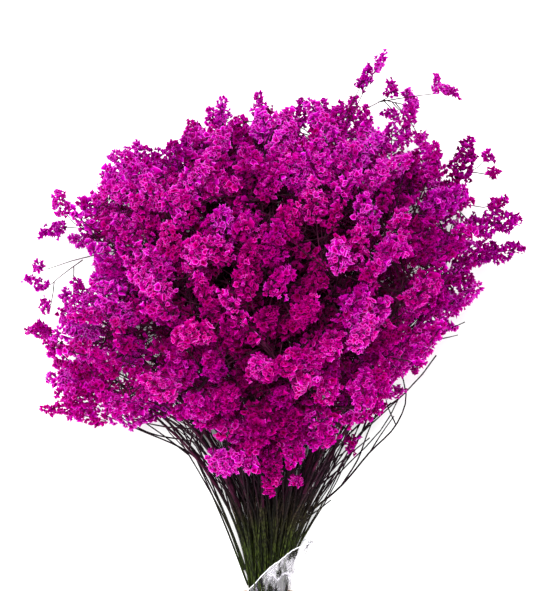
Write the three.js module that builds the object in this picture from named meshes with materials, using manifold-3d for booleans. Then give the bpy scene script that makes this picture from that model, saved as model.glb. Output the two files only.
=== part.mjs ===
// A bunch of dried, dyed statice lying on a table. Cut stems in four rows, held by a rubber band over a
// clear film sleeve, fan out and fork into slim branchlets, each ending in a plume of papery florets.
//
// Millimetres, +Z up. The table is z = 0, the cut ends point to -Y and the flowers to +Y. The bunch is built
// about the band, at x = 0 and y = 0, and is moved at the end so that its box stands centred on the origin.
import Module from "manifold-3d";
import * as THREE from "three";
import { mergeVertices } from "three/addons/utils/BufferGeometryUtils.js";

const wasm = await Module();
wasm.setup();

// ---------------------------------------------------------------- driving dimensions

const SEED = 11;
const GAP = 0.3; // between two pieces that bear on each other

const STEM = { radius: 1.5, sides: 5, pitch: 3.6, tail: 112, tailJitter: 9, tailSpread: 0.12, steps: 5 };
const BUNDLE = { middle: 11.3 }; // height of the bundle's middle over the table at the band

// Rows of stems from the table up. Lift, left and right are the directions, in degrees, that the row's
// stems have turned to once they are FAN.length from the band.
const ROWS = [
  { stems: 6, lift: 2, left: 35, right: 26 },
  { stems: 8, lift: 16, left: 41, right: 30 },
  { stems: 8, lift: 28, left: 39, right: 28 },
  { stems: 6, lift: 41, left: 31, right: 23 },
];
// On the left the stems keep together for longer: their turn eases in more slowly.
const FAN = { start: 0.12, ease: 0.7, leftEase: 1, length: 260, jitter: 1.6 };

// The rounded outside of the flower mass: its middle, its height over and under that, and its reach in
// plan at angles counted from +X towards +Y.
const MASS = { x: 0, y: 229, z: 92, over: 112, under: 90 };
const REACH = [
  [0, 144], [22, 148], [36, 144], [50, 130], [65, 124], [90, 114], [118, 114], [127, 110], [140, 130],
  [160, 140], [171, 124], [180, 120], [190, 144], [202, 160], [213, 162], [224, 132], [243, 114],
  [270, 130], [300, 114], [330, 114], [346, 128],
];

// A plume: whorls of florets that flare to rims, two of them or, on a tuft, one, and each smaller than the
// last by the taper. On the table its middle lies at the resting height, so that its rims are pressed flat.
const PLUME = {
  sides: 4, radius: 8, taper: 0.13, waist: 3.4, resting: 5.6,
  smallest: 0.76, largest: 1.08, tuft: 21, shortest: 24, longest: 42,
};
// How far plumes point out, along and up, and how far that strays.
const LEAN = { outward: 0.62, onward: 0.5, upward: 0.6, stray: 0.45 };
// Where plumes end: shells of the flower mass, each with its share of the mass's size, its number of plumes
// and the heights it runs between, as shares of the unit sphere.
const SHELLS = [
  { share: 0.97, plumes: 76, top: 1, bottom: 0.45 },
  { share: 1, plumes: 106, top: 0.45, bottom: -0.86 },
  { share: 0.72, plumes: 28, top: 1, bottom: 0 },
];
// Plan places of the tips of the plumes that carry the mass, lying on the table.
const RESTS = [[-84, 200], [78, 196], [-22, 296], [30, 160]];
// Tips, sizes, lengths and ways in plan, in degrees from +X towards +Y, of the tufts that stand out of the
// mass on their own twigs. All of them rise a little.
const STRAYS = [
  // Over the top right.
  [82, 381, 112, 0.42, 16, 60], [72, 367, 110, 0.48, 18, 60], [65, 346, 104, 0.55, 18, 75],
  [70, 330, 84, 0.5, 18, 120], [82, 363, 90, 0.45, 12, 95], [91, 358, 92, 0.5, 14, 110],
  [99, 348, 98, 0.5, 14, 40], [78, 343, 86, 0.45, 12, 150], [92, 341, 100, 0.5, 14, 75],
  [94, 333, 104, 0.45, 12, 60], [103, 318, 106, 0.5, 14, -60], [117, 365, 104, 0.42, 14, 112],
  [130, 346, 110, 0.42, 12, -25], [137, 323, 100, 0.85, 30, 78],
  // On the right.
  [150, 314, 84, 0.42, 9, 95], [150, 299, 92, 0.42, 10, 160], [161, 282, 96, 0.4, 16, 35],
  [173, 265, 90, 0.95, 34, 8], [176, 246, 76, 0.7, 36, 15], [144, 219, 66, 0.7, 24, -58],
  [130, 215, 64, 0.55, 16, -85], [128, 196, 60, 0.45, 14, -20], [113, 179, 62, 0.55, 14, -35],
  [99, 160, 60, 0.42, 12, -80], [97, 147, 58, 0.5, 18, 10],
  // Along the top.
  [60, 350, 88, 0.5, 16, 70], [50, 349, 96, 0.5, 16, 85], [40, 350, 96, 0.6, 20, 80],
  [20, 350, 90, 0.6, 20, 88], [-5, 356, 84, 0.5, 20, 95], [-31, 348, 104, 0.5, 18, 85],
  [-41, 343, 90, 0.5, 16, 115], [-53, 333, 104, 0.55, 18, 100], [-90, 322, 100, 0.6, 20, 100],
  [-110, 313, 84, 0.6, 18, 172], [-112, 299, 92, 0.55, 16, 150],
  // On the left.
  [-143, 289, 92, 0.6, 18, 100], [-158, 254, 72, 0.55, 20, 205], [-140, 257, 72, 0.6, 20, 156],
  [-155, 239, 104, 0.38, 8, 100], [-170, 226, 84, 0.45, 18, 155], [-141, 222, 80, 0.6, 16, 105],
  [-132, 229, 90, 0.5, 16, 115], [-117, 231, 86, 0.7, 26, 88], [-152, 214, 84, 0.42, 12, 95],
  [-159, 200, 76, 0.42, 14, 135], [-168, 190, 70, 0.5, 20, 172], [-150, 170, 60, 0.5, 14, 230],
  [-146, 156, 56, 0.75, 26, 182], [-160, 138, 58, 0.5, 24, 190], [-137, 135, 54, 0.6, 22, 188],
  // Under the mass, over the bare stems.
  [-2, 79, 74, 0.8, 30, -90], [-10, 98, 82, 0.9, 30, -80], [23, 83, 66, 0.45, 10, -60],
  [-31, 90, 62, 0.42, 10, -100], [59, 105, 60, 0.5, 14, -90], [56, 122, 62, 0.6, 18, -90],
];
const STRAY = { loose: 2.5, sway: 0.12, rise: 0.15 };

const TWIG = { root: 0.5, radius: 0.75, axis: 1.3, steepest: 45, least: 8 };
const AXIS = { fork: 62, forkJitter: 34, depth: 0.64, step: 4, stretch: 40 };
const CLEAR = { tries: 24, stems: 6, loose: 10, touch: 1.5, outside: 1.05 };
const EVEN = 6; // how many mm further away a stem may be for each plume fewer that it carries

const BAND = { thick: 1.4, width: 5, sides: 20 };
// The sleeve's rings along y, how much further its front edge reaches on the right, how much wider it grows
// for each mm behind the band, and the height of its crinkles.
const FILM = { thick: 0.8, sides: 20, slack: 0.35, slant: 22, loose: 0.06, crinkle: 0.8, crinkles: 5 };
const FILM_RINGS = [-84, -50, -18, -4, 4, 12, 20];

// ---------------------------------------------------------------- small helpers

const { sin, cos, tan, hypot, atan2, abs, floor, max, min, round, sqrt, PI } = Math;
const rad = THREE.MathUtils.degToRad;
const v3 = (x, y, z) => new THREE.Vector3(x, y, z);

// A linear congruential generator, so that the same seed gives the same bunch in any language.
let state = SEED;
function draw() {
  state = (state * 1664525 + 1013904223) % 4294967296;
  return state / 4294967296;
}
const spread = (amount) => (2 * draw() - 1) * amount;
const between = (low, high) => low + draw() * (high - low);

// ---------------------------------------------------------------- the bunch's growth rules

// Reach of the flower mass in plan, eased between the listed angles.
function reachAt(degrees) {
  const turn = ((degrees % 360) + 360) % 360;
  const next = REACH.findIndex(([angle]) => angle > turn);
  const high = next < 0 ? [360, REACH[0][1]] : REACH[next];
  const low = next < 0 ? REACH[REACH.length - 1] : REACH[next - 1];
  const share = (turn - low[0]) / (high[0] - low[0]);
  return low[1] + (high[1] - low[1]) * (1 - cos(PI * share)) / 2;
}

// 0 on the upright line through the middle of the flower mass, 1 on its outside. What lies under the
// middle counts by its place in plan alone.
function depthOf(p) {
  const dx = p.x - MASS.x;
  const dy = p.y - MASS.y;
  return hypot(hypot(dx, dy) / reachAt(atan2(dy, dx) * 180 / PI), max(0, p.z - MASS.z) / MASS.over);
}

// The point on a shell of the mass at a plan angle and an upward share of the unit sphere. The shells are
// round above their middle and boxier below, where the mass lies on the table.
function shellPoint(share, angle, rise) {
  const level = sqrt(1 - rise * rise);
  const n = rise > 0 ? 2 : 3;
  const scale = share / (level ** n + abs(rise) ** n) ** (1 / n);
  const reach = reachAt(angle * 180 / PI) * level * scale;
  const height = (rise > 0 ? MASS.over : MASS.under) * rise * scale;
  return v3(MASS.x + reach * cos(angle), MASS.y + reach * sin(angle), MASS.z + height);
}

// Where a stem is at a distance from the band: it leaves almost straight and turns outwards as it goes.
function stemAt(stem, distance) {
  const open = (ease) => FAN.start + (1 - FAN.start) * (distance / FAN.length) ** ease;
  const a = rad(stem.turn * open(stem.turn < 0 ? FAN.leftEase : FAN.ease));
  const b = rad(stem.lift * open(FAN.ease));
  return v3(sin(a) * cos(b), cos(a) * cos(b), sin(b)).multiplyScalar(distance).add(stem.foot);
}

// Every stretch so far, with the stem it belongs to and its radius. Stems and twigs are slim, plumes are not.
const stretches = [];

function growStems() {
  const stems = [];
  ROWS.forEach((row, r) => {
    for (let c = 0; c < row.stems; c++) {
      const share = 2 * c / (row.stems - 1) - 1;
      const x = (c - (row.stems - 1) / 2) * STEM.pitch;
      const stem = {
        turn: (share < 0 ? row.left : row.right) * share + spread(FAN.jitter),
        lift: row.lift + spread(FAN.jitter) * (r > 0 ? 1 : 0.4),
        foot: v3(x, 0, BUNDLE.middle + (r - (ROWS.length - 1) / 2) * STEM.pitch),
        tail: STEM.tail + spread(STEM.tailJitter),
        fork: AXIS.fork + draw() * AXIS.forkJitter,
        plumes: [],
        limbs: [],
      };
      stem.end = axisEnd(stem);
      stem.joints = axisJoints(stem);
      stems.push(stem);
    }
  });
  return stems;
}

// The stem's axis runs through the deepest place on its way and on until it is a set way out in the mass,
// where its last plume begins.
function axisEnd(stem) {
  const depthAt = (distance) => depthOf(stemAt(stem, distance));
  let distance = stem.fork + AXIS.step;
  while (depthAt(distance + AXIS.step) < max(AXIS.depth, depthAt(distance))) distance += AXIS.step;
  return distance;
}

// The corners of the axis, evenly spaced from just past the fork to the axis's end.
function axisJoints(stem) {
  const from = stem.fork + GAP;
  const count = max(2, round((stem.end - from) / AXIS.stretch));
  const joints = [];
  for (let k = 0; k <= count; k++) joints.push(stemAt(stem, from + (stem.end - from) * k / count));
  return joints;
}

function addStretch(owner, p, q, radius, slim) {
  const stretch = { owner, p, q, radius, slim };
  stretches.push(stretch);
  return stretch;
}

// The shortest distance between two straight stretches.
function stretchGap(a, b) {
  const u = a.q.clone().sub(a.p);
  const v = b.q.clone().sub(b.p);
  const w = a.p.clone().sub(b.p);
  const uu = u.dot(u);
  const uv = u.dot(v);
  const vv = v.dot(v);
  const uw = u.dot(w);
  const vw = v.dot(w);
  const clamp = (x) => max(0, min(1, x));
  const flat = uu * vv - uv * uv;
  let s = flat > 1e-9 ? clamp((uv * vw - vv * uw) / flat) : 0;
  const t = clamp((uv * s + vw) / vv);
  s = clamp((uv * t - uw) / uu);
  return w.addScaledVector(u, s).addScaledVector(v, -t).length();
}

// Whether new stretches of a stem clear every stretch of the others and, of their own, all but the limbs
// that they grow from. Plumes of one stem may touch at their rims.
function isClear(owner, parts) {
  return parts.every((part) => stretches.every((other) => {
    const own = other.owner === owner;
    if (own && part.slim && other.slim) return true;
    return stretchGap(part, other) > part.radius + other.radius + (own ? -CLEAR.touch : GAP);
  }));
}

// The place on a limb that a branchlet to the given point leaves at no more than the steepest angle, as near
// the limb's end as that allows, or null where the point is too far back.
function rootOn(limb, base) {
  const along = limb.q.clone().sub(limb.p);
  const length = along.length();
  along.divideScalar(length);
  const way = base.clone().sub(limb.p);
  const level = way.dot(along);
  const off = sqrt(max(0, way.lengthSq() - level * level));
  const at = min(length, level - off / tan(rad(TWIG.steepest)));
  return at < 0 ? null : limb.p.clone().addScaledVector(along, at);
}

// A branchlet: a straight twig from its root to the plume's base, and the plume from there to its tip.
function branchlet(stem, root, base, tip, size) {
  const waist = base.clone().lerp(tip, 0.4);
  const radius = PLUME.radius * size;
  return {
    stem, root, base, tip, size,
    parts: [
      { p: root, q: base, radius: TWIG.radius, slim: true },
      { p: base, q: waist, radius, slim: false },
      { p: waist, q: tip, radius: radius * (1 - PLUME.taper), slim: false },
    ],
  };
}

function keep(twig) {
  twig.stem.plumes.push(twig);
  const [limb] = twig.parts.map(({ p, q, radius, slim }) => addStretch(twig.stem, p, q, radius, slim));
  twig.stem.limbs.push(limb);
}

// The way a plume points at a place on the mass: between straight out of it and along the stems, and
// flatter than either.
function plumeWay(place) {
  const outward = place.clone().sub(v3(MASS.x, MASS.y, MASS.z)).normalize();
  const onward = place.clone().sub(v3(0, 0, BUNDLE.middle)).normalize();
  const way = outward.multiplyScalar(LEAN.outward).addScaledVector(onward, LEAN.onward);
  way.z *= LEAN.upward;
  return way.normalize();
}

// Where a branchlet to this base could leave a limb, on near and little laden stems first.
function rootsFor(stems, base) {
  const roots = [];
  for (const stem of stems) {
    for (const limb of stem.limbs) {
      const root = rootOn(limb, base);
      const reach = root ? root.distanceTo(base) : 0;
      if (reach > TWIG.least) roots.push({ stem, root, cost: reach + EVEN * stem.plumes.length });
    }
  }
  return roots.sort((a, b) => a.cost - b.cost).slice(0, CLEAR.stems);
}

// Grows one plume near a place, in the first of a few loose positions that is clear and, unless the plume
// stands out, inside the mass.
function growPlume(stems, place, way, size, length, loose, stray, standsOut = false) {
  for (let k = 0; k < CLEAR.tries; k++) {
    const off = loose + 0.5 * k;
    const lean = stray + 0.02 * k;
    const tip = place.clone().add(v3(spread(off), spread(off), spread(off)));
    const leaning = way.clone().add(v3(spread(lean), spread(lean), spread(lean)));
    if (place.z < 40) leaning.z = max(leaning.z, -0.1);
    const base = tip.clone().addScaledVector(leaning.normalize(), -length);
    if (!standsOut && depthOf(tip) > CLEAR.outside) continue;
    tip.z = max(tip.z, PLUME.resting * size);
    base.z = max(base.z, PLUME.resting * size);
    for (const { stem, root } of rootsFor(stems, base)) {
      const twig = branchlet(stem, root, base, tip, size);
      if (isClear(stem, twig.parts)) {
        keep(twig);
        return;
      }
    }
  }
}

// The plume that a stem's axis ends in.
function growLeader(stem) {
  const [before, base] = stem.joints.slice(-2);
  const way = base.clone().sub(before).normalize();
  const tip = base.clone().addScaledVector(way, between(PLUME.shortest, PLUME.longest));
  tip.z = max(tip.z, PLUME.resting);
  keep(branchlet(stem, base.clone().addScaledVector(way, -TWIG.least), base, tip, 1));
}

// Under the fan of bare stems, where no plume hangs.
const isThroat = (p) => p.y < 150 && p.z < 0.5 * p.y + 25 && abs(p.x) < 0.5 * p.y;

function growPlumes(stems) {
  for (const stem of stems) {
    addStretch(stem, v3(stem.foot.x, -STEM.tail, stem.foot.z), stem.foot, STEM.radius, true);
    addStretch(stem, stem.foot, stemAt(stem, stem.fork / 2), STEM.radius, true);
    addStretch(stem, stemAt(stem, stem.fork / 2), stem.joints[0], STEM.radius, true);
    for (let k = 1; k < stem.joints.length; k++) {
      stem.limbs.push(addStretch(stem, stem.joints[k - 1], stem.joints[k], TWIG.axis, true));
    }
  }
  stems.forEach(growLeader);
  RESTS.forEach(([x, y]) => {
    const length = between(PLUME.shortest, PLUME.longest);
    const place = v3(x, y, -PLUME.radius);
    growPlume(stems, place, plumeWay(place), 1, length, CLEAR.loose, LEAN.stray);
  });
  STRAYS.forEach(([x, y, z, size, length, turn]) => {
    const way = v3(cos(rad(turn)), sin(rad(turn)), STRAY.rise).normalize();
    growPlume(stems, v3(x, y, z), way, size, length, STRAY.loose, STRAY.sway, true);
  });
  const golden = PI * (3 - sqrt(5));
  for (const shell of SHELLS) {
    for (let k = 0; k < shell.plumes; k++) {
      const rise = shell.top + (shell.bottom - shell.top) * (k + 0.5) / shell.plumes;
      const place = shellPoint(shell.share, k * golden, rise);
      const size = between(PLUME.smallest, PLUME.largest);
      const length = between(PLUME.shortest, PLUME.longest);
      if (!isThroat(place)) {
        growPlume(stems, place, plumeWay(place), size, length, CLEAR.loose, LEAN.stray);
      }
    }
  }
}

// ---------------------------------------------------------------- solids

// A closed three.js geometry as a manifold-3d solid.
function solidOf(geometry) {
  const bare = new THREE.BufferGeometry().setAttribute("position", geometry.getAttribute("position"));
  bare.setIndex(geometry.index);
  const merged = mergeVertices(bare, 1e-4);
  const faces = [];
  const index = merged.index.array;
  for (let k = 0; k < index.length; k += 3) {
    const [a, b, c] = index.slice(k, k + 3);
    if (a !== b && b !== c && c !== a) faces.push(a, b, c);
  }
  return new wasm.Manifold(new wasm.Mesh({
    numProp: 3,
    vertProperties: merged.getAttribute("position").array,
    triVerts: new Uint32Array(faces),
  }));
}

function geometryOf(solid) {
  const mesh = solid.getMesh();
  const geometry = new THREE.BufferGeometry();
  geometry.setAttribute("position", new THREE.BufferAttribute(mesh.vertProperties.slice(), 3));
  geometry.setIndex(new THREE.BufferAttribute(mesh.triVerts.slice(), 1));
  geometry.computeVertexNormals();
  return geometry;
}

// A lathe whose points are then placed one by one, by their radius, ring and angle.
function shapedLathe(outline, sides, place) {
  const lathe = new THREE.LatheGeometry(outline, sides);
  const position = lathe.getAttribute("position");
  for (let k = 0; k < position.count; k++) {
    const ring = k % outline.length;
    const p = place(ring, 2 * PI * floor(k / outline.length) / sides);
    position.setXYZ(k, p.x, p.y, p.z);
  }
  return lathe;
}

// A bar of a regular section through the given corners.
function bar(corners, sides, radius) {
  const section = [];
  for (let k = 0; k < sides; k++) {
    const turn = 2 * PI * k / sides;
    section.push(new THREE.Vector2(radius * cos(turn), radius * sin(turn)));
  }
  const extrudePath = new THREE.CatmullRomCurve3(corners);
  const options = { steps: corners.length - 1, bevelEnabled: false, extrudePath };
  return new THREE.ExtrudeGeometry(new THREE.Shape(section), options);
}

// Radius and place of each ring of a branchlet: its twig from root to base, then its plume of flared whorls.
function branchletRings(twig) {
  const rings = [[0, twig.root], [TWIG.root, twig.root], [TWIG.radius, twig.base]];
  const along = (share) => twig.base.clone().lerp(twig.tip, share);
  const whorls = twig.base.distanceTo(twig.tip) < PLUME.tuft ? 1 : 2;
  const pitch = 1 / (whorls + 0.4);
  for (let k = 0; k < whorls; k++) {
    const size = twig.size * (1 - PLUME.taper * k);
    if (k > 0) rings.push([PLUME.waist * size, along(k * pitch)]);
    rings.push([PLUME.radius * size, along((k + 0.8) * pitch)]);
  }
  rings.push([0, twig.tip]);
  return rings;
}

// Each ring is turned a quarter of a side past the last, so that the whorls stagger.
function branchletSolid(twig) {
  const rings = branchletRings(twig);
  const outline = rings.map(([radius], k) => new THREE.Vector2(radius, k));
  const frames = [twig.base.clone().sub(twig.root), twig.tip.clone().sub(twig.base)].map((way) => {
    const ahead = way.normalize();
    const across = v3(0.3, 0.2, 1).addScaledVector(ahead, -v3(0.3, 0.2, 1).dot(ahead)).normalize();
    return { across, up: ahead.clone().cross(across) };
  });
  return solidOf(shapedLathe(outline, PLUME.sides, (ring, turn) => {
    const [radius, at] = rings[ring];
    const { across, up } = frames[ring < 3 ? 0 : 1];
    const angle = turn + ring * PI / (2 * PLUME.sides);
    return at.clone().addScaledVector(up, radius * cos(angle)).addScaledVector(across, -radius * sin(angle));
  }));
}

// The dyed part of a stem in one body: its axis, its twigs and their plumes, flat where they meet the table.
function sprayGeometry(stem) {
  const pieces = [solidOf(bar(stem.joints, 4, TWIG.axis)), ...stem.plumes.map(branchletSolid)];
  let spray = wasm.Manifold.union(pieces);
  if (spray.boundingBox().min[2] < 0) spray = spray.trimByPlane([0, 0, 1], 0);
  const bodies = spray.decompose().sort((a, b) => b.volume() - a.volume());
  return geometryOf(bodies[0]);
}

// Where a stem runs behind the band, at a distance counted back from it.
const tailAt = (stem, back) => v3(stem.foot.x * (1 + STEM.tailSpread * back / STEM.tail), -back, stem.foot.z);

function stemCorners(stem) {
  const corners = [];
  for (let k = 0; k <= STEM.steps; k++) {
    const ahead = (stem.tail + stem.fork) * k / STEM.steps - stem.tail;
    corners.push(ahead < 0 ? tailAt(stem, -ahead) : stemAt(stem, ahead));
  }
  return corners;
}

// The oval that clears every stem where they cross a plane of constant y.
function ovalAt(ways, y) {
  const places = ways.map((corners) => {
    const next = corners.findIndex((corner) => corner.y > y);
    const [before, after] = [corners[next - 1], corners[next]];
    return before.clone().lerp(after, (y - before.y) / (after.y - before.y));
  });
  const [left, right] = [min(...places.map((p) => p.x)), max(...places.map((p) => p.x))];
  const [low, high] = [min(...places.map((p) => p.z)), max(...places.map((p) => p.z))];
  const middle = v3((left + right) / 2, y, (low + high) / 2);
  const wide = (right - left) / 2;
  const tall = (high - low) / 2;
  const scale = max(...places.map((p) => hypot((p.x - middle.x) / wide, (p.z - middle.z) / tall)));
  const clear = (STEM.radius + GAP + FILM.slack) / cos(PI / FILM.sides);
  return { middle, wide: wide * scale + clear, tall: tall * scale + clear };
}

function ovalPoint(oval, extra, turn, floorHeight) {
  const x = oval.middle.x + (oval.wide + extra) * cos(turn);
  const z = oval.middle.z - (oval.tall + extra) * sin(turn);
  return v3(x, oval.middle.y, max(z, floorHeight));
}

// A thin sleeve round the stems, loose behind the band, flared and crinkled before it, and flat where it
// lies on the table. Its front edge reaches further on the right.
function filmGeometry(ways) {
  const count = FILM_RINGS.length;
  const outline = [];
  for (let k = 0; k < 2 * count; k++) outline.push(new THREE.Vector2(1, k));
  outline.push(outline[0].clone());
  return geometryOf(solidOf(shapedLathe(outline, FILM.sides, (ring, turn) => {
    const outer = ring < count || ring === 2 * count;
    const k = ring % (2 * count);
    const ringY = FILM_RINGS[outer ? k : 2 * count - 1 - k];
    const flare = max(0, ringY - BAND.width) / (FILM_RINGS[count - 1] - BAND.width);
    const y = ringY + flare * FILM.slant * cos(turn);
    const crinkle = flare * FILM.crinkle * (1 + sin(FILM.crinkles * turn));
    const extra = FILM.loose * max(0, -y - BAND.width) + crinkle + (outer ? FILM.thick : 0);
    return ovalPoint(ovalAt(ways, y), extra, turn, outer ? 0 : FILM.thick);
  })));
}

function bandGeometry(ways) {
  const half = BAND.width / 2;
  const inner = ovalAt(ways, half);
  inner.wide += abs(inner.middle.x);
  inner.middle.set(0, 0, inner.middle.z);
  const outside = GAP + BAND.thick;
  const corners = [[GAP, half], [GAP, -half], [outside, -half], [outside, half], [GAP, half]];
  const outline = corners.map(([, y], k) => new THREE.Vector2(1, k + y));
  return geometryOf(solidOf(shapedLathe(outline, BAND.sides, (ring, turn) => {
    const [extra, y] = corners[ring];
    const point = ovalPoint(inner, FILM.thick + extra, turn, 0);
    return point.setY(y);
  })));
}

// ---------------------------------------------------------------- assembly

const green = new THREE.MeshStandardMaterial({ color: "#39401f", roughness: 0.8, metalness: 0 });
const dyed = new THREE.MeshStandardMaterial({ color: "#b3108a", roughness: 0.85, metalness: 0 });
const film = new THREE.MeshStandardMaterial({ color: "#dfe4e6", roughness: 0.15, metalness: 0 });
const rubber = new THREE.MeshStandardMaterial({ color: "#b98a4e", roughness: 0.6, metalness: 0 });

const bunch = new THREE.Group();
function add(name, geometry, material) {
  const mesh = new THREE.Mesh(geometry, material);
  mesh.name = name;
  bunch.add(mesh);
}

const stems = growStems();
growPlumes(stems);
const ways = stems.map(stemCorners);
stems.forEach((stem, k) => {
  const label = String(k + 1).padStart(2, "0");
  add(`stem_${label}`, bar(ways[k], STEM.sides, STEM.radius), green);
  add(`spray_${label}`, sprayGeometry(stem), dyed);
});
add("film_sleeve", filmGeometry(ways), film);
add("band", bandGeometry(ways), rubber);

const box = new THREE.Box3().setFromObject(bunch);
bunch.position.set(-(box.min.x + box.max.x) / 2, -(box.min.y + box.max.y) / 2, -box.min.z);

export default bunch;
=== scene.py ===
"""A bunch of dried, dyed statice lying on a pale table, seen from above.

The bunch is grown by the same seeded rule as its solids, in millimetres, with the rubber band at x = 0 and
y = 0. Every piece is then placed in the frame, in metres, and replaces the solid that it was grown for.
"""

import logging
import math
from dataclasses import dataclass, field
from enum import Enum
from typing import Callable, Optional, Sequence, Union

import bmesh
import bpy
import numpy as np
from mathutils import Matrix, Vector


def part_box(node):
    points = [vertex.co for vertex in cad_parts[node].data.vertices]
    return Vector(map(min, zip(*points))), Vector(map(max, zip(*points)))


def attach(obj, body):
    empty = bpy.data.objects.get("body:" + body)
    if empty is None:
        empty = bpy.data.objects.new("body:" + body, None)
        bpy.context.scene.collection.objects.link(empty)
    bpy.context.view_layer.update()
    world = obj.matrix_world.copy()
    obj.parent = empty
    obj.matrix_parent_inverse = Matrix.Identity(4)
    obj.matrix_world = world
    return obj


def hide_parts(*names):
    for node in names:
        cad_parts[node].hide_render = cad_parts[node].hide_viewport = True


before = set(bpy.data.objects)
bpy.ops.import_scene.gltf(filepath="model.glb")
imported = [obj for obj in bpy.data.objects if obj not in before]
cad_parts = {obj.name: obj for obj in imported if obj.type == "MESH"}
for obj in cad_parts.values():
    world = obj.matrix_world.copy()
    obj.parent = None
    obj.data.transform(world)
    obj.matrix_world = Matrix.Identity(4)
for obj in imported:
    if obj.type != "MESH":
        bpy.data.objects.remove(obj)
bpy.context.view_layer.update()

log = logging.getLogger("statice")

MM = 0.001
GOLDEN_ANGLE = math.pi * (3 - math.sqrt(5))
UP = np.array([0.0, 0.0, 1.0])
ACROSS = np.array([1.0, 0.0, 0.0])
# The upward share from which a way counts as upright.
STEEP = 0.9

Vec = np.ndarray
Colour = tuple[float, float, float, float]
# Two limits, or the values at two ends.
Pair = tuple[float, float]
# The places and hex colours of a colour ramp.
Stops = tuple[tuple[float, str], ...]
# A straight stretch that fills space: its start, its end, its radius and whether it is a stem or a twig.
Stretch = tuple[Vec, Vec, float, bool]


# -------------------- driving dimensions of the bunch


@dataclass(frozen=True)
class StemSizes:
    """The cut stems behind the band, in millimetres."""

    radius: float = 1.5
    pitch: float = 3.6
    tail: float = 112
    tail_jitter: float = 9
    tail_spread: float = 0.12
    middle: float = 11.3
    gap: float = 0.3


@dataclass(frozen=True)
class Row:
    """A row of stems, with the directions, in degrees, that they turn to."""

    stems: int
    lift: float
    left: float
    right: float


@dataclass(frozen=True)
class Fan:
    """How the stems open as they leave the band."""

    start: float = 0.12
    ease: float = 0.7
    left_ease: float = 1
    length: float = 260
    jitter: float = 1.6
    first_row_share: float = 0.4


@dataclass(frozen=True)
class Mass:
    """The rounded outside of the flower mass: its middle, its height over and under that, and its reach."""

    middle: tuple[float, float, float] = (0, 229, 92)
    over: float = 112
    under: float = 90
    # How round its sections are over the middle and how boxy under it, as powers.
    round_over: int = 2
    boxy_under: int = 3
    reach: tuple[Pair, ...] = (
        (0, 144), (22, 148), (36, 144), (50, 130), (65, 124), (90, 114), (118, 114), (127, 110),
        (140, 130), (160, 140), (171, 124), (180, 120), (190, 144), (202, 160), (213, 162), (224, 132),
        (243, 114), (270, 130), (300, 114), (330, 114), (346, 128),
    )


@dataclass(frozen=True)
class Throat:
    """The room under the fan of bare stems, which widens and rises from the band as far as its end."""

    end: float = 150
    rise: float = 0.5
    over: float = 25
    half: float = 0.5


@dataclass(frozen=True)
class PlumeSizes:
    """The envelope of one plume of florets."""

    radius: float = 8
    taper: float = 0.13
    waist: float = 0.4
    smallest: float = 0.76
    largest: float = 1.08
    shortest: float = 24
    longest: float = 42
    resting: float = 5.6
    outward: float = 0.62
    onward: float = 0.5
    upward: float = 0.6
    stray: float = 0.45


@dataclass(frozen=True)
class Shell:
    """A shell of the mass on which plumes end, between two heights given as shares of the unit sphere."""

    share: float
    plumes: int
    top: float
    bottom: float


@dataclass(frozen=True)
class Growth:
    """The steps and limits of the growing rule."""

    seed: int = 11
    fork: float = 62
    fork_jitter: float = 34
    depth: float = 0.64
    step: float = 4
    stretch: float = 40
    twig_radius: float = 0.75
    axis_radius: float = 1.3
    steepest: float = 45
    least: float = 8
    tries: int = 24
    small_tries: int = 8
    small_room: float = 0.6
    roots: int = 6
    loose: float = 10
    # How much looser each further try is, in its place and in its way.
    looser: float = 0.5
    further: float = 0.02
    # Plumes that end lower than this point hardly down.
    low: float = 40
    low_rise: float = -0.1
    touch: float = 1.5
    even: float = 6
    outside: float = 1.05
    stray_loose: float = 2.5
    stray_sway: float = 0.12
    stray_rise: float = 0.15


STEM = StemSizes()
ROWS = (Row(6, 2, 35, 26), Row(8, 16, 41, 30), Row(8, 28, 39, 28), Row(6, 41, 31, 23))
FAN = Fan()
MASS = Mass()
THROAT = Throat()
PLUME = PlumeSizes()
GROWTH = Growth()
SHELLS = (Shell(0.97, 76, 1, 0.45), Shell(1, 106, 0.45, -0.86), Shell(0.72, 28, 1, 0))
# Plan places of the tips of the plumes that carry the mass, lying on the table.
RESTS = ((-84, 200), (78, 196), (-22, 296), (30, 160))
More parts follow.
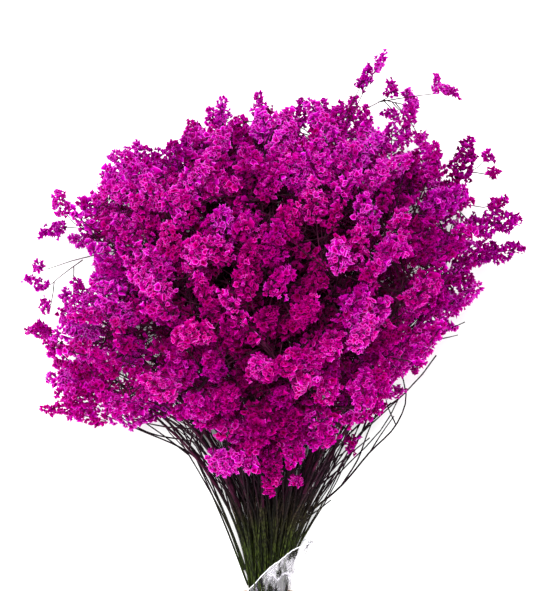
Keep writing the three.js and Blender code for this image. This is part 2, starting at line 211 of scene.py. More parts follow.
# Tips, sizes, lengths and ways in plan, in degrees from +X towards +Y, of the tufts that stand out of the
# mass on their own twigs.
STRAYS = (
    # Over the top right.
    (82, 381, 112, 0.42, 16, 60), (72, 367, 110, 0.48, 18, 60), (65, 346, 104, 0.55, 18, 75),
    (70, 330, 84, 0.5, 18, 120), (82, 363, 90, 0.45, 12, 95), (91, 358, 92, 0.5, 14, 110),
    (99, 348, 98, 0.5, 14, 40), (78, 343, 86, 0.45, 12, 150), (92, 341, 100, 0.5, 14, 75),
    (94, 333, 104, 0.45, 12, 60), (103, 318, 106, 0.5, 14, -60), (117, 365, 104, 0.42, 14, 112),
    (130, 346, 110, 0.42, 12, -25), (137, 323, 100, 0.85, 30, 78),
    # On the right.
    (150, 314, 84, 0.42, 9, 95), (150, 299, 92, 0.42, 10, 160), (161, 282, 96, 0.4, 16, 35),
    (173, 265, 90, 0.95, 34, 8), (176, 246, 76, 0.7, 36, 15), (144, 219, 66, 0.7, 24, -58),
    (130, 215, 64, 0.55, 16, -85), (128, 196, 60, 0.45, 14, -20), (113, 179, 62, 0.55, 14, -35),
    (99, 160, 60, 0.42, 12, -80), (97, 147, 58, 0.5, 18, 10),
    # Along the top.
    (60, 350, 88, 0.5, 16, 70), (50, 349, 96, 0.5, 16, 85), (40, 350, 96, 0.6, 20, 80),
    (20, 350, 90, 0.6, 20, 88), (-5, 356, 84, 0.5, 20, 95), (-31, 348, 104, 0.5, 18, 85),
    (-41, 343, 90, 0.5, 16, 115), (-53, 333, 104, 0.55, 18, 100), (-90, 322, 100, 0.6, 20, 100),
    (-110, 313, 84, 0.6, 18, 172), (-112, 299, 92, 0.55, 16, 150),
    # On the left.
    (-143, 289, 92, 0.6, 18, 100), (-158, 254, 72, 0.55, 20, 205), (-140, 257, 72, 0.6, 20, 156),
    (-155, 239, 104, 0.38, 8, 100), (-170, 226, 84, 0.45, 18, 155), (-141, 222, 80, 0.6, 16, 105),
    (-132, 229, 90, 0.5, 16, 115), (-117, 231, 86, 0.7, 26, 88), (-152, 214, 84, 0.42, 12, 95),
    (-159, 200, 76, 0.42, 14, 135), (-168, 190, 70, 0.5, 20, 172), (-150, 170, 60, 0.5, 14, 230),
    (-146, 156, 56, 0.75, 26, 182), (-160, 138, 58, 0.5, 24, 190), (-137, 135, 54, 0.6, 22, 188),
    # Under the mass, over the bare stems.
    (-2, 79, 74, 0.8, 30, -90), (-10, 98, 82, 0.9, 30, -80), (23, 83, 66, 0.45, 10, -60),
    (-31, 90, 62, 0.42, 10, -100), (59, 105, 60, 0.5, 14, -90), (56, 122, 62, 0.6, 18, -90),
)


@dataclass(frozen=True)
class View:
    """The camera's view straight down on the bunch, with the flowers towards the top of the picture."""

    width_px: int = 550
    height_px: int = 591
    mm_per_px: float = 0.68
    # The pixel over the band's middle, and the height over the table that is seen at the real scale.
    band_px: Pair = (268, 612)
    sharp_height: float = 92
    distance: float = 1350

    def middle(self) -> Vec:
        """The place in the middle of the picture, at the height that is seen at the real scale."""
        across = (self.width_px / 2 - self.band_px[0]) * self.mm_per_px
        along = (self.band_px[1] - self.height_px / 2) * self.mm_per_px
        return np.array([across, along, self.sharp_height])

    def place(self, pixel: Pair, height: float) -> Vec:
        """The place that a pixel shows at a height over the table.

        Args:
            pixel: The pixel, across and down.
            height: The height in millimetres.

        Returns:
            The point in the bunch's own millimetres.
        """
        middle = self.middle()
        scale = self.mm_per_px * (self.distance + self.sharp_height - height) / self.distance
        across = (pixel[0] - self.width_px / 2) * scale
        along = (self.height_px / 2 - pixel[1]) * scale
        return np.array([middle[0] + across, middle[1] + along, height])


@dataclass(frozen=True)
class BareTwig:
    """A twig without flowers: its stem, its radii and heights at its two ends, and the pixels it passes.

    One that leaves its stem in sight starts there, at a distance from the band. Any other starts at its
    first pixel.
    """

    stem: int
    radii: Pair
    heights: Pair
    route_px: tuple[tuple[int, int], ...]
    leaves_at: Optional[float] = None


VIEW = View()
# Twigs without flowers that show beside the stems: stem, radii, heights and pixels.
BARE_TWIGS = (
    # On the right.
    BareTwig(
        22, (0.85, 0.5), (35, 58), ((341, 486), (370, 452), (396, 425), (406, 400), (402, 374)), leaves_at=60,
    ),
    BareTwig(22, (0.55, 0.4), (46, 52), ((370, 452), (380, 436), (394, 416))),
    BareTwig(22, (0.55, 0.4), (50, 56), ((396, 425), (387, 404), (385, 394))),
    BareTwig(22, (0.7, 0.4), (44, 60), ((341, 486), (358, 459), (368, 432), (380, 405))),
    BareTwig(28, (0.7, 0.4), (40, 44), ((318, 510), (331, 500)), leaves_at=55),
    BareTwig(28, (0.7, 0.4), (52, 66), ((326, 465), (349, 447), (352, 434)), leaves_at=70),
    BareTwig(14, (0.7, 0.5), (30, 50), ((345, 463), (360, 436), (372, 408)), leaves_at=80),
    BareTwig(14, (0.65, 0.4), (26, 40), ((324, 478), (342, 448), (352, 430)), leaves_at=60),
    BareTwig(14, (0.75, 0.4), (39, 62), ((380, 366), (405, 350), (465, 322)), leaves_at=140),
    BareTwig(22, (0.55, 0.35), (50, 60), ((425, 341), (445, 338), (458, 335))),
    # On the left.
    BareTwig(7, (0.75, 0.5), (22, 50), ((222, 492), (196, 458), (140, 430), (104, 415))),
    BareTwig(7, (0.65, 0.4), (34, 48), ((189, 455), (160, 433), (132, 414))),
    BareTwig(7, (0.85, 0.5), (9, 36), ((248, 575), (226, 518), (199, 463), (180, 425))),
    BareTwig(7, (0.85, 0.55), (9, 30), ((250, 580), (230, 527), (207, 470), (196, 437))),
    BareTwig(15, (0.65, 0.4), (50, 58), ((191, 441), (150, 433), (115, 414))),
    BareTwig(15, (0.55, 0.35), (34, 46), ((212, 467), (195, 432), (190, 418))),
    BareTwig(1, (0.7, 0.5), (8, 30), ((244, 570), (228, 526), (203, 479), (170, 424))),
    BareTwig(1, (0.85, 0.55), (6, 20), ((248, 585), (227, 530), (196, 458))),
)


# -------------------- growth


def unit(way: Vec) -> Vec:
    """The way with a length of 1."""
    return way / np.linalg.norm(way)


class Draws:
    """A linear congruential generator, the one that the solids were grown with."""

    FACTOR = 1664525
    STEP = 1013904223
    RANGE = 4294967296

    def __init__(self, seed: int) -> None:
        """Starts the sequence.

        Args:
            seed: The first state.
        """
        self.state = seed

    def draw(self) -> float:
        """The next number from 0 to 1."""
        self.state = (self.state * self.FACTOR + self.STEP) % self.RANGE
        return self.state / self.RANGE

    def spread(self, amount: float) -> float:
        """The next number from minus to plus the amount."""
        return (2 * self.draw() - 1) * amount

    def between(self, low: float, high: float) -> float:
        """The next number between two limits."""
        return low + self.draw() * (high - low)

    def cloud(self, amount: float) -> Vec:
        """The next offset in a cube of plus or minus the amount."""
        return np.array([self.spread(amount), self.spread(amount), self.spread(amount)])


class Habit(Enum):
    """How a plume carries its florets."""

    FULL = "full"
    LOOSE = "loose"
    SMALL = "small"


@dataclass
class Plume:
    """A branchlet: a twig from its root to the plume's base, and the plume from there to its tip."""

    root: Vec
    base: Vec
    tip: Vec
    size: float
    habit: Habit = Habit.FULL


@dataclass
class Stem:
    """One stem, from its cut end through the band to the end of its axis in the mass."""

    turn: float
    lift: float
    foot: Vec
    tail: float
    fork: float
    end: float = 0
    joints: list[Vec] = field(default_factory=list)
    plumes: list[Plume] = field(default_factory=list)

    def at(self, distance: float) -> Vec:
        """Where the stem is at a distance from the band, negative towards the cut end.

        Args:
            distance: Millimetres along the stem.

        Returns:
            The point in the bunch's own millimetres.
        """
        if distance < 0:
            spread = 1 - STEM.tail_spread * distance / STEM.tail
            return np.array([self.foot[0] * spread, distance, self.foot[2]])
        share = distance / FAN.length
        ease = FAN.left_ease if self.turn < 0 else FAN.ease
        a = math.radians(self.turn * (FAN.start + (1 - FAN.start) * share**ease))
        b = math.radians(self.lift * (FAN.start + (1 - FAN.start) * share**FAN.ease))
        way = np.array([math.sin(a) * math.cos(b), math.cos(a) * math.cos(b), math.sin(b)])
        return way * distance + self.foot

    def stretch(self, start: float, length: float, shares: Vec) -> Vec:
        """Where the stem is at shares of a stretch of it.

        Args:
            start: The stretch's distance from the band.
            length: Its length.
            shares: The shares, from 0 to 1.

        Returns:
            The points in the bunch's own millimetres.
        """
        return np.array([self.at(start + length * share) for share in shares])


class Bunch:
    """Grows the stems and their plumes, each clear of the others."""

    ROOM = 8192

    def __init__(self) -> None:
        """Starts with no stems and an empty record of the stretches that fill space."""
        self.draws = Draws(GROWTH.seed)
        self.stems: list[Stem] = []
        self.filled = 0
        self.starts = np.zeros((self.ROOM, 3))
        self.ends = np.zeros((self.ROOM, 3))
        self.radii = np.zeros(self.ROOM)
        self.owners = np.zeros(self.ROOM, int)
        self.slim = np.zeros(self.ROOM, bool)
        self.limbs: list[int] = []

    def grow(self) -> list[Stem]:
        """Grows the whole bunch.

        Returns:
            The stems with their plumes.
        """
        self.grow_stems()
        for number, stem in enumerate(self.stems):
            self.fill(number, stem.at(-stem.tail), stem.foot, STEM.radius, True)
            self.fill(number, stem.foot, stem.at(stem.fork / 2), STEM.radius, True)
            self.fill(number, stem.at(stem.fork / 2), stem.joints[0], STEM.radius, True)
            for before, after in zip(stem.joints, stem.joints[1:]):
                self.limbs.append(self.fill(number, before, after, GROWTH.axis_radius, True))
        for number, stem in enumerate(self.stems):
            self.grow_leader(number, stem)
        for x, y in RESTS:
            length = self.draws.between(PLUME.shortest, PLUME.longest)
            place = np.array([x, y, -PLUME.radius])
            self.grow_plume(place, plume_way(place), 1, length, GROWTH.loose, PLUME.stray)
        for x, y, z, size, length, turn in STRAYS:
            angle = math.radians(turn)
            way = unit(np.array([math.cos(angle), math.sin(angle), GROWTH.stray_rise]))
            place = np.array([x, y, z], float)
            self.grow_plume(
                place, way, size, length, GROWTH.stray_loose, GROWTH.stray_sway, Habit.LOOSE
            )
        for shell in SHELLS:
            self.grow_shell(shell)
        return self.stems

    def grow_stems(self) -> None:
        """Sets every stem on its way out of the band."""
        for level, row in enumerate(ROWS):
            for place in range(row.stems):
                share = 2 * place / (row.stems - 1) - 1
                x = (place - (row.stems - 1) / 2) * STEM.pitch
                z = STEM.middle + (level - (len(ROWS) - 1) / 2) * STEM.pitch
                lift_share = 1 if level > 0 else FAN.first_row_share
                stem = Stem(
                    turn=(row.left if share < 0 else row.right) * share + self.draws.spread(FAN.jitter),
                    lift=row.lift + self.draws.spread(FAN.jitter) * lift_share,
                    foot=np.array([x, 0, z]),
                    tail=STEM.tail + self.draws.spread(STEM.tail_jitter),
                    fork=GROWTH.fork + self.draws.draw() * GROWTH.fork_jitter,
                )
                self.end_axis(stem)
                self.stems.append(stem)

    def end_axis(self, stem: Stem) -> None:
        """Finds the end of a stem's axis, a set way out in the mass, and its corners.

        Args:
            stem: The stem, whose end and joints are set.
        """
        distance = stem.fork + GROWTH.step
        while depth_of(stem.at(distance + GROWTH.step)) < max(
            GROWTH.depth, depth_of(stem.at(distance))
        ):
            distance += GROWTH.step
        stem.end = distance
        first = stem.fork + STEM.gap
        count = max(2, math.floor((distance - first) / GROWTH.stretch + 0.5))
        stem.joints = [stem.at(first + (distance - first) * k / count) for k in range(count + 1)]

    def fill(self, owner: int, start: Vec, end: Vec, radius: float, slim: bool) -> int:
        """Notes a stretch that fills space.

        Args:
            owner: The number of its stem.
            start: Its first point.
            end: Its last point.
            radius: Its radius in millimetres.
            slim: Whether it is a stem or a twig, and not a plume.

        Returns:
            The stretch's number.
        """
        number = self.filled
        self.starts[number] = start
        self.ends[number] = end
        self.radii[number] = radius
        self.owners[number] = owner
        self.slim[number] = slim
        self.filled += 1
        return number

    def gaps(self, start: Vec, end: Vec) -> Vec:
        """The shortest distances from one straight stretch to every stretch that fills space.

        Args:
            start: The stretch's first point.
            end: Its last point.

        Returns:
            One distance for each stretch.
        """
        starts = self.starts[: self.filled]
        u = end - start
        v = self.ends[: self.filled] - starts
        w = start - starts
        uu = u @ u
        uv = v @ u
        vv = np.einsum("ij,ij->i", v, v)
        uw = w @ u
        vw = np.einsum("ij,ij->i", v, w)
        flat = uu * vv - uv * uv
        skew = flat > 1e-9
        s = np.where(skew, np.clip((uv * vw - vv * uw) / np.where(skew, flat, 1), 0, 1), 0)
        t = np.clip((uv * s + vw) / vv, 0, 1)
        s = np.clip((uv * t - uw) / uu, 0, 1)
        return np.linalg.norm(w + s[:, None] * u - t[:, None] * v, axis=1)

    def is_clear(self, owner: int, parts: Sequence[Stretch], room: float = 1) -> bool:
        """Whether new stretches of a stem clear what is there already.

        Args:
            owner: The number of the stem.
            parts: The start, end, radius and slimness of each new stretch.
            room: The share of the radii that is kept clear.

        Returns:
            True if each clears every stretch but the limbs it grows from, whose own plumes may touch it.
        """
        own = self.owners[: self.filled] == owner
        for start, end, radius, slim in parts:
            least = np.where(own, -GROWTH.touch, STEM.gap) + room * (radius + self.radii[: self.filled])
            free = self.gaps(start, end) > least
            if slim:
                free |= own & self.slim[: self.filled]
            if not free.all():
                return False
        return True

    def roots_for(self, base: Vec) -> list[tuple[int, Vec]]:
        """Where a branchlet to a base could leave a limb.

        Args:
            base: The base of the plume.

        Returns:
            The stem's number and the root of each choice, those on near and little laden stems first.
        """
        limbs = np.array(self.limbs)
        starts = self.starts[limbs]
        along = self.ends[limbs] - starts
        lengths = np.linalg.norm(along, axis=1)
        along /= lengths[:, None]
        way = base - starts
        level = np.einsum("ij,ij->i", way, along)
        off = np.sqrt(np.maximum(0, np.einsum("ij,ij->i", way, way) - level * level))
        places = np.minimum(lengths, level - off / math.tan(math.radians(GROWTH.steepest)))
        roots = starts + along * places[:, None]
        reach = np.linalg.norm(roots - base, axis=1)
        owners = self.owners[limbs]
        laden = np.array([len(stem.plumes) for stem in self.stems])[owners]
        cost = reach + GROWTH.even * laden
        usable = (places >= 0) & (reach > GROWTH.least)
        order = [k for k in np.lexsort((limbs, owners, cost)) if usable[k]]
        return [(int(owners[k]), roots[k]) for k in order[: GROWTH.roots]]

    def keep(self, owner: int, plume: Plume, parts: Sequence[Stretch]) -> None:
        """Adds a branchlet to its stem.

        Args:
            owner: The number of the stem.
            plume: The branchlet.
            parts: Its twig and then its plume, as stretches.
        """
        self.stems[owner].plumes.append(plume)
        numbers = [self.fill(owner, *part) for part in parts]
        self.limbs.append(numbers[0])

    def grow_plume(
        self, place: Vec, way: Vec, size: float, length: float, loose: float, stray: float,
        habit: Habit = Habit.FULL,
    ) -> None:
        """Grows one plume near a place, in the first of a few loose positions that is clear.

        Args:
            place: Where the plume should end.
            way: The way that it should point.
            size: Its size, 1 for a full one.
            length: Its length.
            loose: How far from the place it may end, at first.
            stray: How far its way may stray, at first.
            habit: How it carries its florets.
        """
        for k in range(GROWTH.tries if habit is not Habit.SMALL else GROWTH.small_tries):
            tip = place + self.draws.cloud(loose + GROWTH.looser * k)
            leaning = way + self.draws.cloud(stray + GROWTH.further * k)
            if place[2] < GROWTH.low:
                leaning[2] = max(leaning[2], GROWTH.low_rise)
            base = tip - unit(leaning) * length
            if habit is not Habit.LOOSE and depth_of(tip) > GROWTH.outside:
                continue
            tip[2] = max(tip[2], PLUME.resting * size)
            base[2] = max(base[2], PLUME.resting * size)
            for owner, root in self.roots_for(base):
                parts = stretches_of(root, base, tip, size)
                if self.is_clear(owner, parts, GROWTH.small_room if habit is Habit.SMALL else 1):
                    self.keep(owner, Plume(root, base, tip, size, habit), parts)
                    return

    def grow_leader(self, owner: int, stem: Stem) -> None:
        """Grows the plume that a stem's axis ends in.

        Args:
            owner: The number of the stem.
            stem: The stem.
        """
        before, base = stem.joints[-2:]
        way = unit(base - before)
        tip = base + way * self.draws.between(PLUME.shortest, PLUME.longest)
        tip[2] = max(tip[2], PLUME.resting)
        root = base - way * GROWTH.least
        self.keep(owner, Plume(root, base, tip, 1), stretches_of(root, base, tip, 1))

    def grow_shell(self, shell: Shell) -> None:
        """Grows the plumes that end on one shell of the mass.

        Args:
            shell: The shell.
        """
        for k in range(shell.plumes):
            rise = shell.top + (shell.bottom - shell.top) * (k + 0.5) / shell.plumes
            place = shell_point(shell.share, k * GOLDEN_ANGLE, rise)
            size = self.draws.between(PLUME.smallest, PLUME.largest)
            length = self.draws.between(PLUME.shortest, PLUME.longest)
            if not is_throat(place):
                self.grow_plume(place, plume_way(place), size, length, GROWTH.loose, PLUME.stray)


def reach_at(degrees: float) -> float:
    """Reach of the flower mass in plan, eased between the listed angles.

    Args:
        degrees: Angle from +X towards +Y.

    Returns:
        Millimetres from the middle.
    """
    turn = degrees % 360
    angles = [angle for angle, _ in MASS.reach]
    above = next((k for k, angle in enumerate(angles) if angle > turn), None)
    high = (360, MASS.reach[0][1]) if above is None else MASS.reach[above]
    low = MASS.reach[-1] if above is None else MASS.reach[above - 1]
    share = (turn - low[0]) / (high[0] - low[0])
    return low[1] + (high[1] - low[1]) * (1 - math.cos(math.pi * share)) / 2


def depth_of(point: Vec) -> float:
    """How far out in the flower mass a point is.

    Args:
        point: A point in millimetres.

    Returns:
        0 on the upright line through the middle of the mass and 1 on its outside.
    """
    dx = point[0] - MASS.middle[0]
    dy = point[1] - MASS.middle[1]
    level = math.hypot(dx, dy) / reach_at(math.atan2(dy, dx) * 180 / math.pi)
    return math.hypot(level, max(0, point[2] - MASS.middle[2]) / MASS.over)


def shell_point(share: float, angle: float, rise: float) -> Vec:
    """The point on a shell of the mass, which is round above its middle and boxier below.

    Args:
        share: The shell's size as a share of the mass.
        angle: Plan angle in radians.
        rise: Upward share of the unit sphere.

    Returns:
        The point in millimetres.
    """
    level = math.sqrt(1 - rise * rise)
    n = MASS.round_over if rise > 0 else MASS.boxy_under
    scale = share / (level**n + abs(rise) ** n) ** (1 / n)
    reach = reach_at(angle * 180 / math.pi) * level * scale
    height = (MASS.over if rise > 0 else MASS.under) * rise * scale
    x, y, z = MASS.middle
    return np.array([x + reach * math.cos(angle), y + reach * math.sin(angle), z + height])


def is_throat(point: Vec) -> bool:
    """Whether a point is under the fan of bare stems, where no plume hangs."""
    low = point[2] < THROAT.rise * point[1] + THROAT.over
    return point[1] < THROAT.end and low and abs(point[0]) < THROAT.half * point[1]


def plume_way(place: Vec) -> Vec:
    """The way a plume points: between straight out of the mass and along the stems, and flatter than either.

    Args:
        place: Where the plume should end.

    Returns:
        The way, of length 1.
    """
    outward = unit(place - np.array(MASS.middle))
    onward = unit(place - np.array([0, 0, STEM.middle]))
    way = outward * PLUME.outward + onward * PLUME.onward
    way[2] *= PLUME.upward
    return unit(way)


def stretches_of(root: Vec, base: Vec, tip: Vec, size: float) -> list[Stretch]:
    """A branchlet's twig and the two halves of its plume, as straight stretches.

    Args:
        root: Where the twig leaves its limb.
        base: Where the plume begins.
        tip: Where it ends.
        size: Its size, 1 for a full one.

    Returns:
        The start, end, radius and slimness of each stretch.
    """
    waist = base + (tip - base) * PLUME.waist
    radius = PLUME.radius * size
    return [
        (root, base, GROWTH.twig_radius, True),
        (base, waist, radius, False),
        (waist, tip, radius * (1 - PLUME.taper), False),
    ]


# -------------------- finishes


def linear(hex_colour: str) -> Colour:
    """Turns an sRGB hex colour to a linear one.

    Args:
        hex_colour: Such as "#b3108a".

    Returns:
        Red, green, blue and a full alpha.
    """
    digits = hex_colour.lstrip("#")
    shares = [int(digits[k : k + 2], 16) / 255 for k in (0, 2, 4)]
    red, green, blue = (s / 12.92 if s <= 0.04045 else ((s + 0.055) / 1.055) ** 2.4 for s in shares)
    return red, green, blue, 1.0


Value = Union[float, Sequence[float], bpy.types.NodeSocket]


def add_node(
    tree: bpy.types.NodeTree,
    kind: str,
    inputs: Optional[dict[Union[str, int], Value]] = None,
    settings: Optional[dict[str, object]] = None,
    stops: Optional[Stops] = None,
) -> bpy.types.Node:
    """Adds a node with its settings and links.

    Args:
        tree: The node tree.
        kind: The node's type name.
        inputs: A value or the socket to link, for each input.
        settings: The node's own properties.
        stops: Places and hex colours of a colour ramp.

    Returns:
        The node.
    """
    node = tree.nodes.new(kind)
    for name, value in (settings or {}).items():
        setattr(node, name, value)
    for name, value in (inputs or {}).items():
        if isinstance(value, bpy.types.NodeSocket):
            tree.links.new(value, node.inputs[name])
        else:
            node.inputs[name].default_value = value
    if stops:
        elements = node.color_ramp.elements
        while len(elements) < len(stops):
            elements.new(0.5)
        for element, (place, colour) in zip(elements, stops):
            element.position = place
            element.color = linear(colour)
    return node


class Finish:
    """A finish: one procedural material, made once and named for what it is."""

    title = ""
    roughness = 0.5
    # How strongly it reflects, where 0.5 is what its index of refraction gives.
    specular = 0.5
    ior = 1.5
    alpha = 1.0

    def material(self) -> bpy.types.Material:
        """Makes the material, or gives the one already made.

        Returns:
            The material.
        """
        made = bpy.data.materials.get(self.title)
        if made:
            return made
        material = bpy.data.materials.new(self.title)
        material.use_nodes = True
        tree = material.node_tree
        tree.nodes.clear()
        wanted = {"Roughness": self.roughness, "Specular IOR Level": self.specular, "IOR": self.ior}
        shader = add_node(tree, "ShaderNodeBsdfPrincipled", wanted | {"Alpha": self.alpha})
        add_node(tree, "ShaderNodeOutputMaterial", {"Surface": shader.outputs["BSDF"]})
        self.dress(tree, shader)
        return material

    def dress(self, tree: bpy.types.NodeTree, shader: bpy.types.Node) -> None:
        """Sets the shader and adds the pattern.

        Args:
            tree: The material's nodes.
            shader: Its Principled shader.
        """
        raise NotImplementedError

    @staticmethod
    def noise(tree: bpy.types.NodeTree, grain_mm: float, detail: float = 2) -> bpy.types.NodeSocket:
        """Noise on Object coordinates.

        Args:
            tree: The material's nodes.
            grain_mm: The size of its grain in millimetres.
            detail: How many finer layers it has.

        Returns:
            The socket that gives it, from 0 to 1.
        """
        place = add_node(tree, "ShaderNodeTexCoord").outputs["Object"]
        wanted = {"Vector": place, "Scale": 1 / (grain_mm * MM), "Detail": detail}
        return add_node(tree, "ShaderNodeTexNoise", wanted).outputs["Fac"]

    @staticmethod
    def bump(
        tree: bpy.types.NodeTree, shader: bpy.types.Node, height: bpy.types.NodeSocket, depth_mm: float
    ) -> None:
        """Links a bump to the shader.

        Args:
            tree: The material's nodes.
            shader: Its shader.
            height: The bump's height, from 0 to 1.
            depth_mm: What a height of 1 is in millimetres.
        """
        wanted = {"Height": height, "Strength": 1.0, "Distance": depth_mm * MM}
        node = add_node(tree, "ShaderNodeBump", wanted)
        tree.links.new(node.outputs["Normal"], shader.inputs["Normal"])


@dataclass(frozen=True)
class Mottled(Finish):
    """A finish of two tones in patches, with the patches raised, or a grain of its own, or neither."""

    title: str = ""
    # The two tones, each with its place on the pattern.
    tones: Stops = ()
    patch_mm: float = 1
    detail: float = 2
    grain_mm: Optional[float] = None
    depth_mm: float = 0

    def dress(self, tree: bpy.types.NodeTree, shader: bpy.types.Node) -> None:
        """Sets the shader and adds the patches.

        Args:
            tree: The material's nodes.
            shader: Its Principled shader.
        """
        patches = self.noise(tree, self.patch_mm, self.detail)
        tone = add_node(tree, "ShaderNodeValToRGB", {"Fac": patches}, stops=self.tones)
        tree.links.new(tone.outputs["Color"], shader.inputs["Base Color"])
        if self.depth_mm:
            grain = self.noise(tree, self.grain_mm) if self.grain_mm else patches
            self.bump(tree, shader, grain, self.depth_mm)


@dataclass(frozen=True)
class DyedCalyx(Finish):
    """Dyed statice calyx, dry and papery, in two dye tones, with painted shade in its throat and at its foot.

    The dye is matt, and its crinkled skin scatters light, so it has no real highlights. Its rim is painted
    brightest, and turns pale where the dye is most faded and the painted light is highest: partly faded dye,
    partly a painted highlight.
    """

    title: str = "dyed_papery_calyx"
    # Places along the calyx: 0 in the throat, 0.5 on the rim and 1 at the foot. The dark throat and foot are
    # painted shade, and the brightest stop, on the rim, is a painted highlight.
    pink: Stops = (
        (0.0, "#4c0012"), (0.2, "#920044"), (0.42, "#c6007c"), (0.5, "#d80a98"), (0.58, "#c40080"),
        (0.7, "#a80066"), (1.0, "#7c0046"),
    )
    violet: Stops = (
        (0.0, "#38002c"), (0.2, "#820062"), (0.42, "#b800a2"), (0.5, "#ce0ec2"), (0.58, "#b400a2"),
        (0.7, "#960088"), (1.0, "#640058"),
    )
    # The pale rim, partly faded dye and partly a painted highlight, and how much of the calyx it takes.
    faded: str = "#dc60ce"
    rim: Stops = (
        (0.42, "#000000"), (0.49, "#ffffff"), (0.51, "#ffffff"), (0.56, "#000000"),
    )
    # How bright a floret is at the least and the most of its fading and painted light, and from what value of
    # these a rim turns pale.
    dull: float = 0.12
    bright: float = 1.0
    fades_from: float = 0.5
    # How much light comes through the skin, how far, and the share of that in red, green and blue.
    glow: float = 0.5
    glow_mm: float = 1.5
    glow_shares: tuple[float, float, float] = (1.0, 0.15, 0.7)
    grain_mm: float = 0.9
    crinkle_mm: float = 0.12
    roughness: float = 0.72
    specular: float = 0.0

    def dress(self, tree: bpy.types.NodeTree, shader: bpy.types.Node) -> None:
        """Sets the shader and adds the dye's pattern, with its painted shade and its painted highlight.

        Args:
            tree: The material's nodes.
            shader: Its Principled shader.
        """
        petal, tint, fade = (
            add_node(tree, "ShaderNodeAttribute", settings={"attribute_name": name}).outputs["Fac"]
            for name in ("petal", "tint", "fade")
        )
        tones = [
            add_node(tree, "ShaderNodeValToRGB", {"Fac": petal}, stops=stops).outputs["Color"]
            for stops in (self.pink, self.violet)
        ]
        mixed = add_node(
            tree, "ShaderNodeMix", {"Factor": tint, 6: tones[0], 7: tones[1]}, {"data_type": "RGBA"}
        ).outputs[2]
        # The brightness follows the floret's fading and its painted shade deep in the mass.
        value = add_node(
            tree, "ShaderNodeMapRange", {"Value": fade, "To Min": self.dull, "To Max": self.bright}
        ).outputs["Result"]
        dyed = add_node(
            tree, "ShaderNodeHueSaturation", {"Color": mixed, "Value": value}
        ).outputs["Color"]
        # The rim turns pale where fading and painted light are high: partly faded dye, partly a painted
        # highlight.
        rim_fade_and_highlight = add_node(
            tree, "ShaderNodeMapRange", {"Value": fade, "From Min": self.fades_from}
        ).outputs["Result"]
        rim = add_node(tree, "ShaderNodeValToRGB", {"Fac": petal}, stops=self.rim).outputs["Color"]
        share = add_node(
            tree, "ShaderNodeMath", {0: rim, 1: rim_fade_and_highlight}, {"operation": "MULTIPLY"}
        ).outputs["Value"]
        pale = add_node(
            tree,
            "ShaderNodeMix",
            {"Factor": share, 6: dyed, 7: linear(self.faded)},
            {"data_type": "RGBA"},
        )
        tree.links.new(pale.outputs[2], shader.inputs["Base Color"])
        # Light comes through the thin skin, which softens the shade between the florets.
        shader.inputs["Subsurface Weight"].default_value = self.glow
        shader.inputs["Subsurface Radius"].default_value = self.glow_shares
        shader.inputs["Subsurface Scale"].default_value = self.glow_mm * MM
        # Real skin folds are finer; these are as coarse as the eye needs to see them.
        self.bump(tree, shader, self.noise(tree, self.grain_mm), self.crinkle_mm)


@dataclass(frozen=True)
class DyedTwig(Mottled):
    """Dyed dry twig, wiry and matt: nearly black purple, with a little red where the dye is thin."""

    title: str = "dyed_dry_twig"
    tones: Stops = ((0.35, "#12030c"), (0.7, "#42122c"))
    patch_mm: float = 6
    grain_mm: float = 0.5
    depth_mm: float = 0.08
    roughness: float = 0.7
    specular: float = 0.05


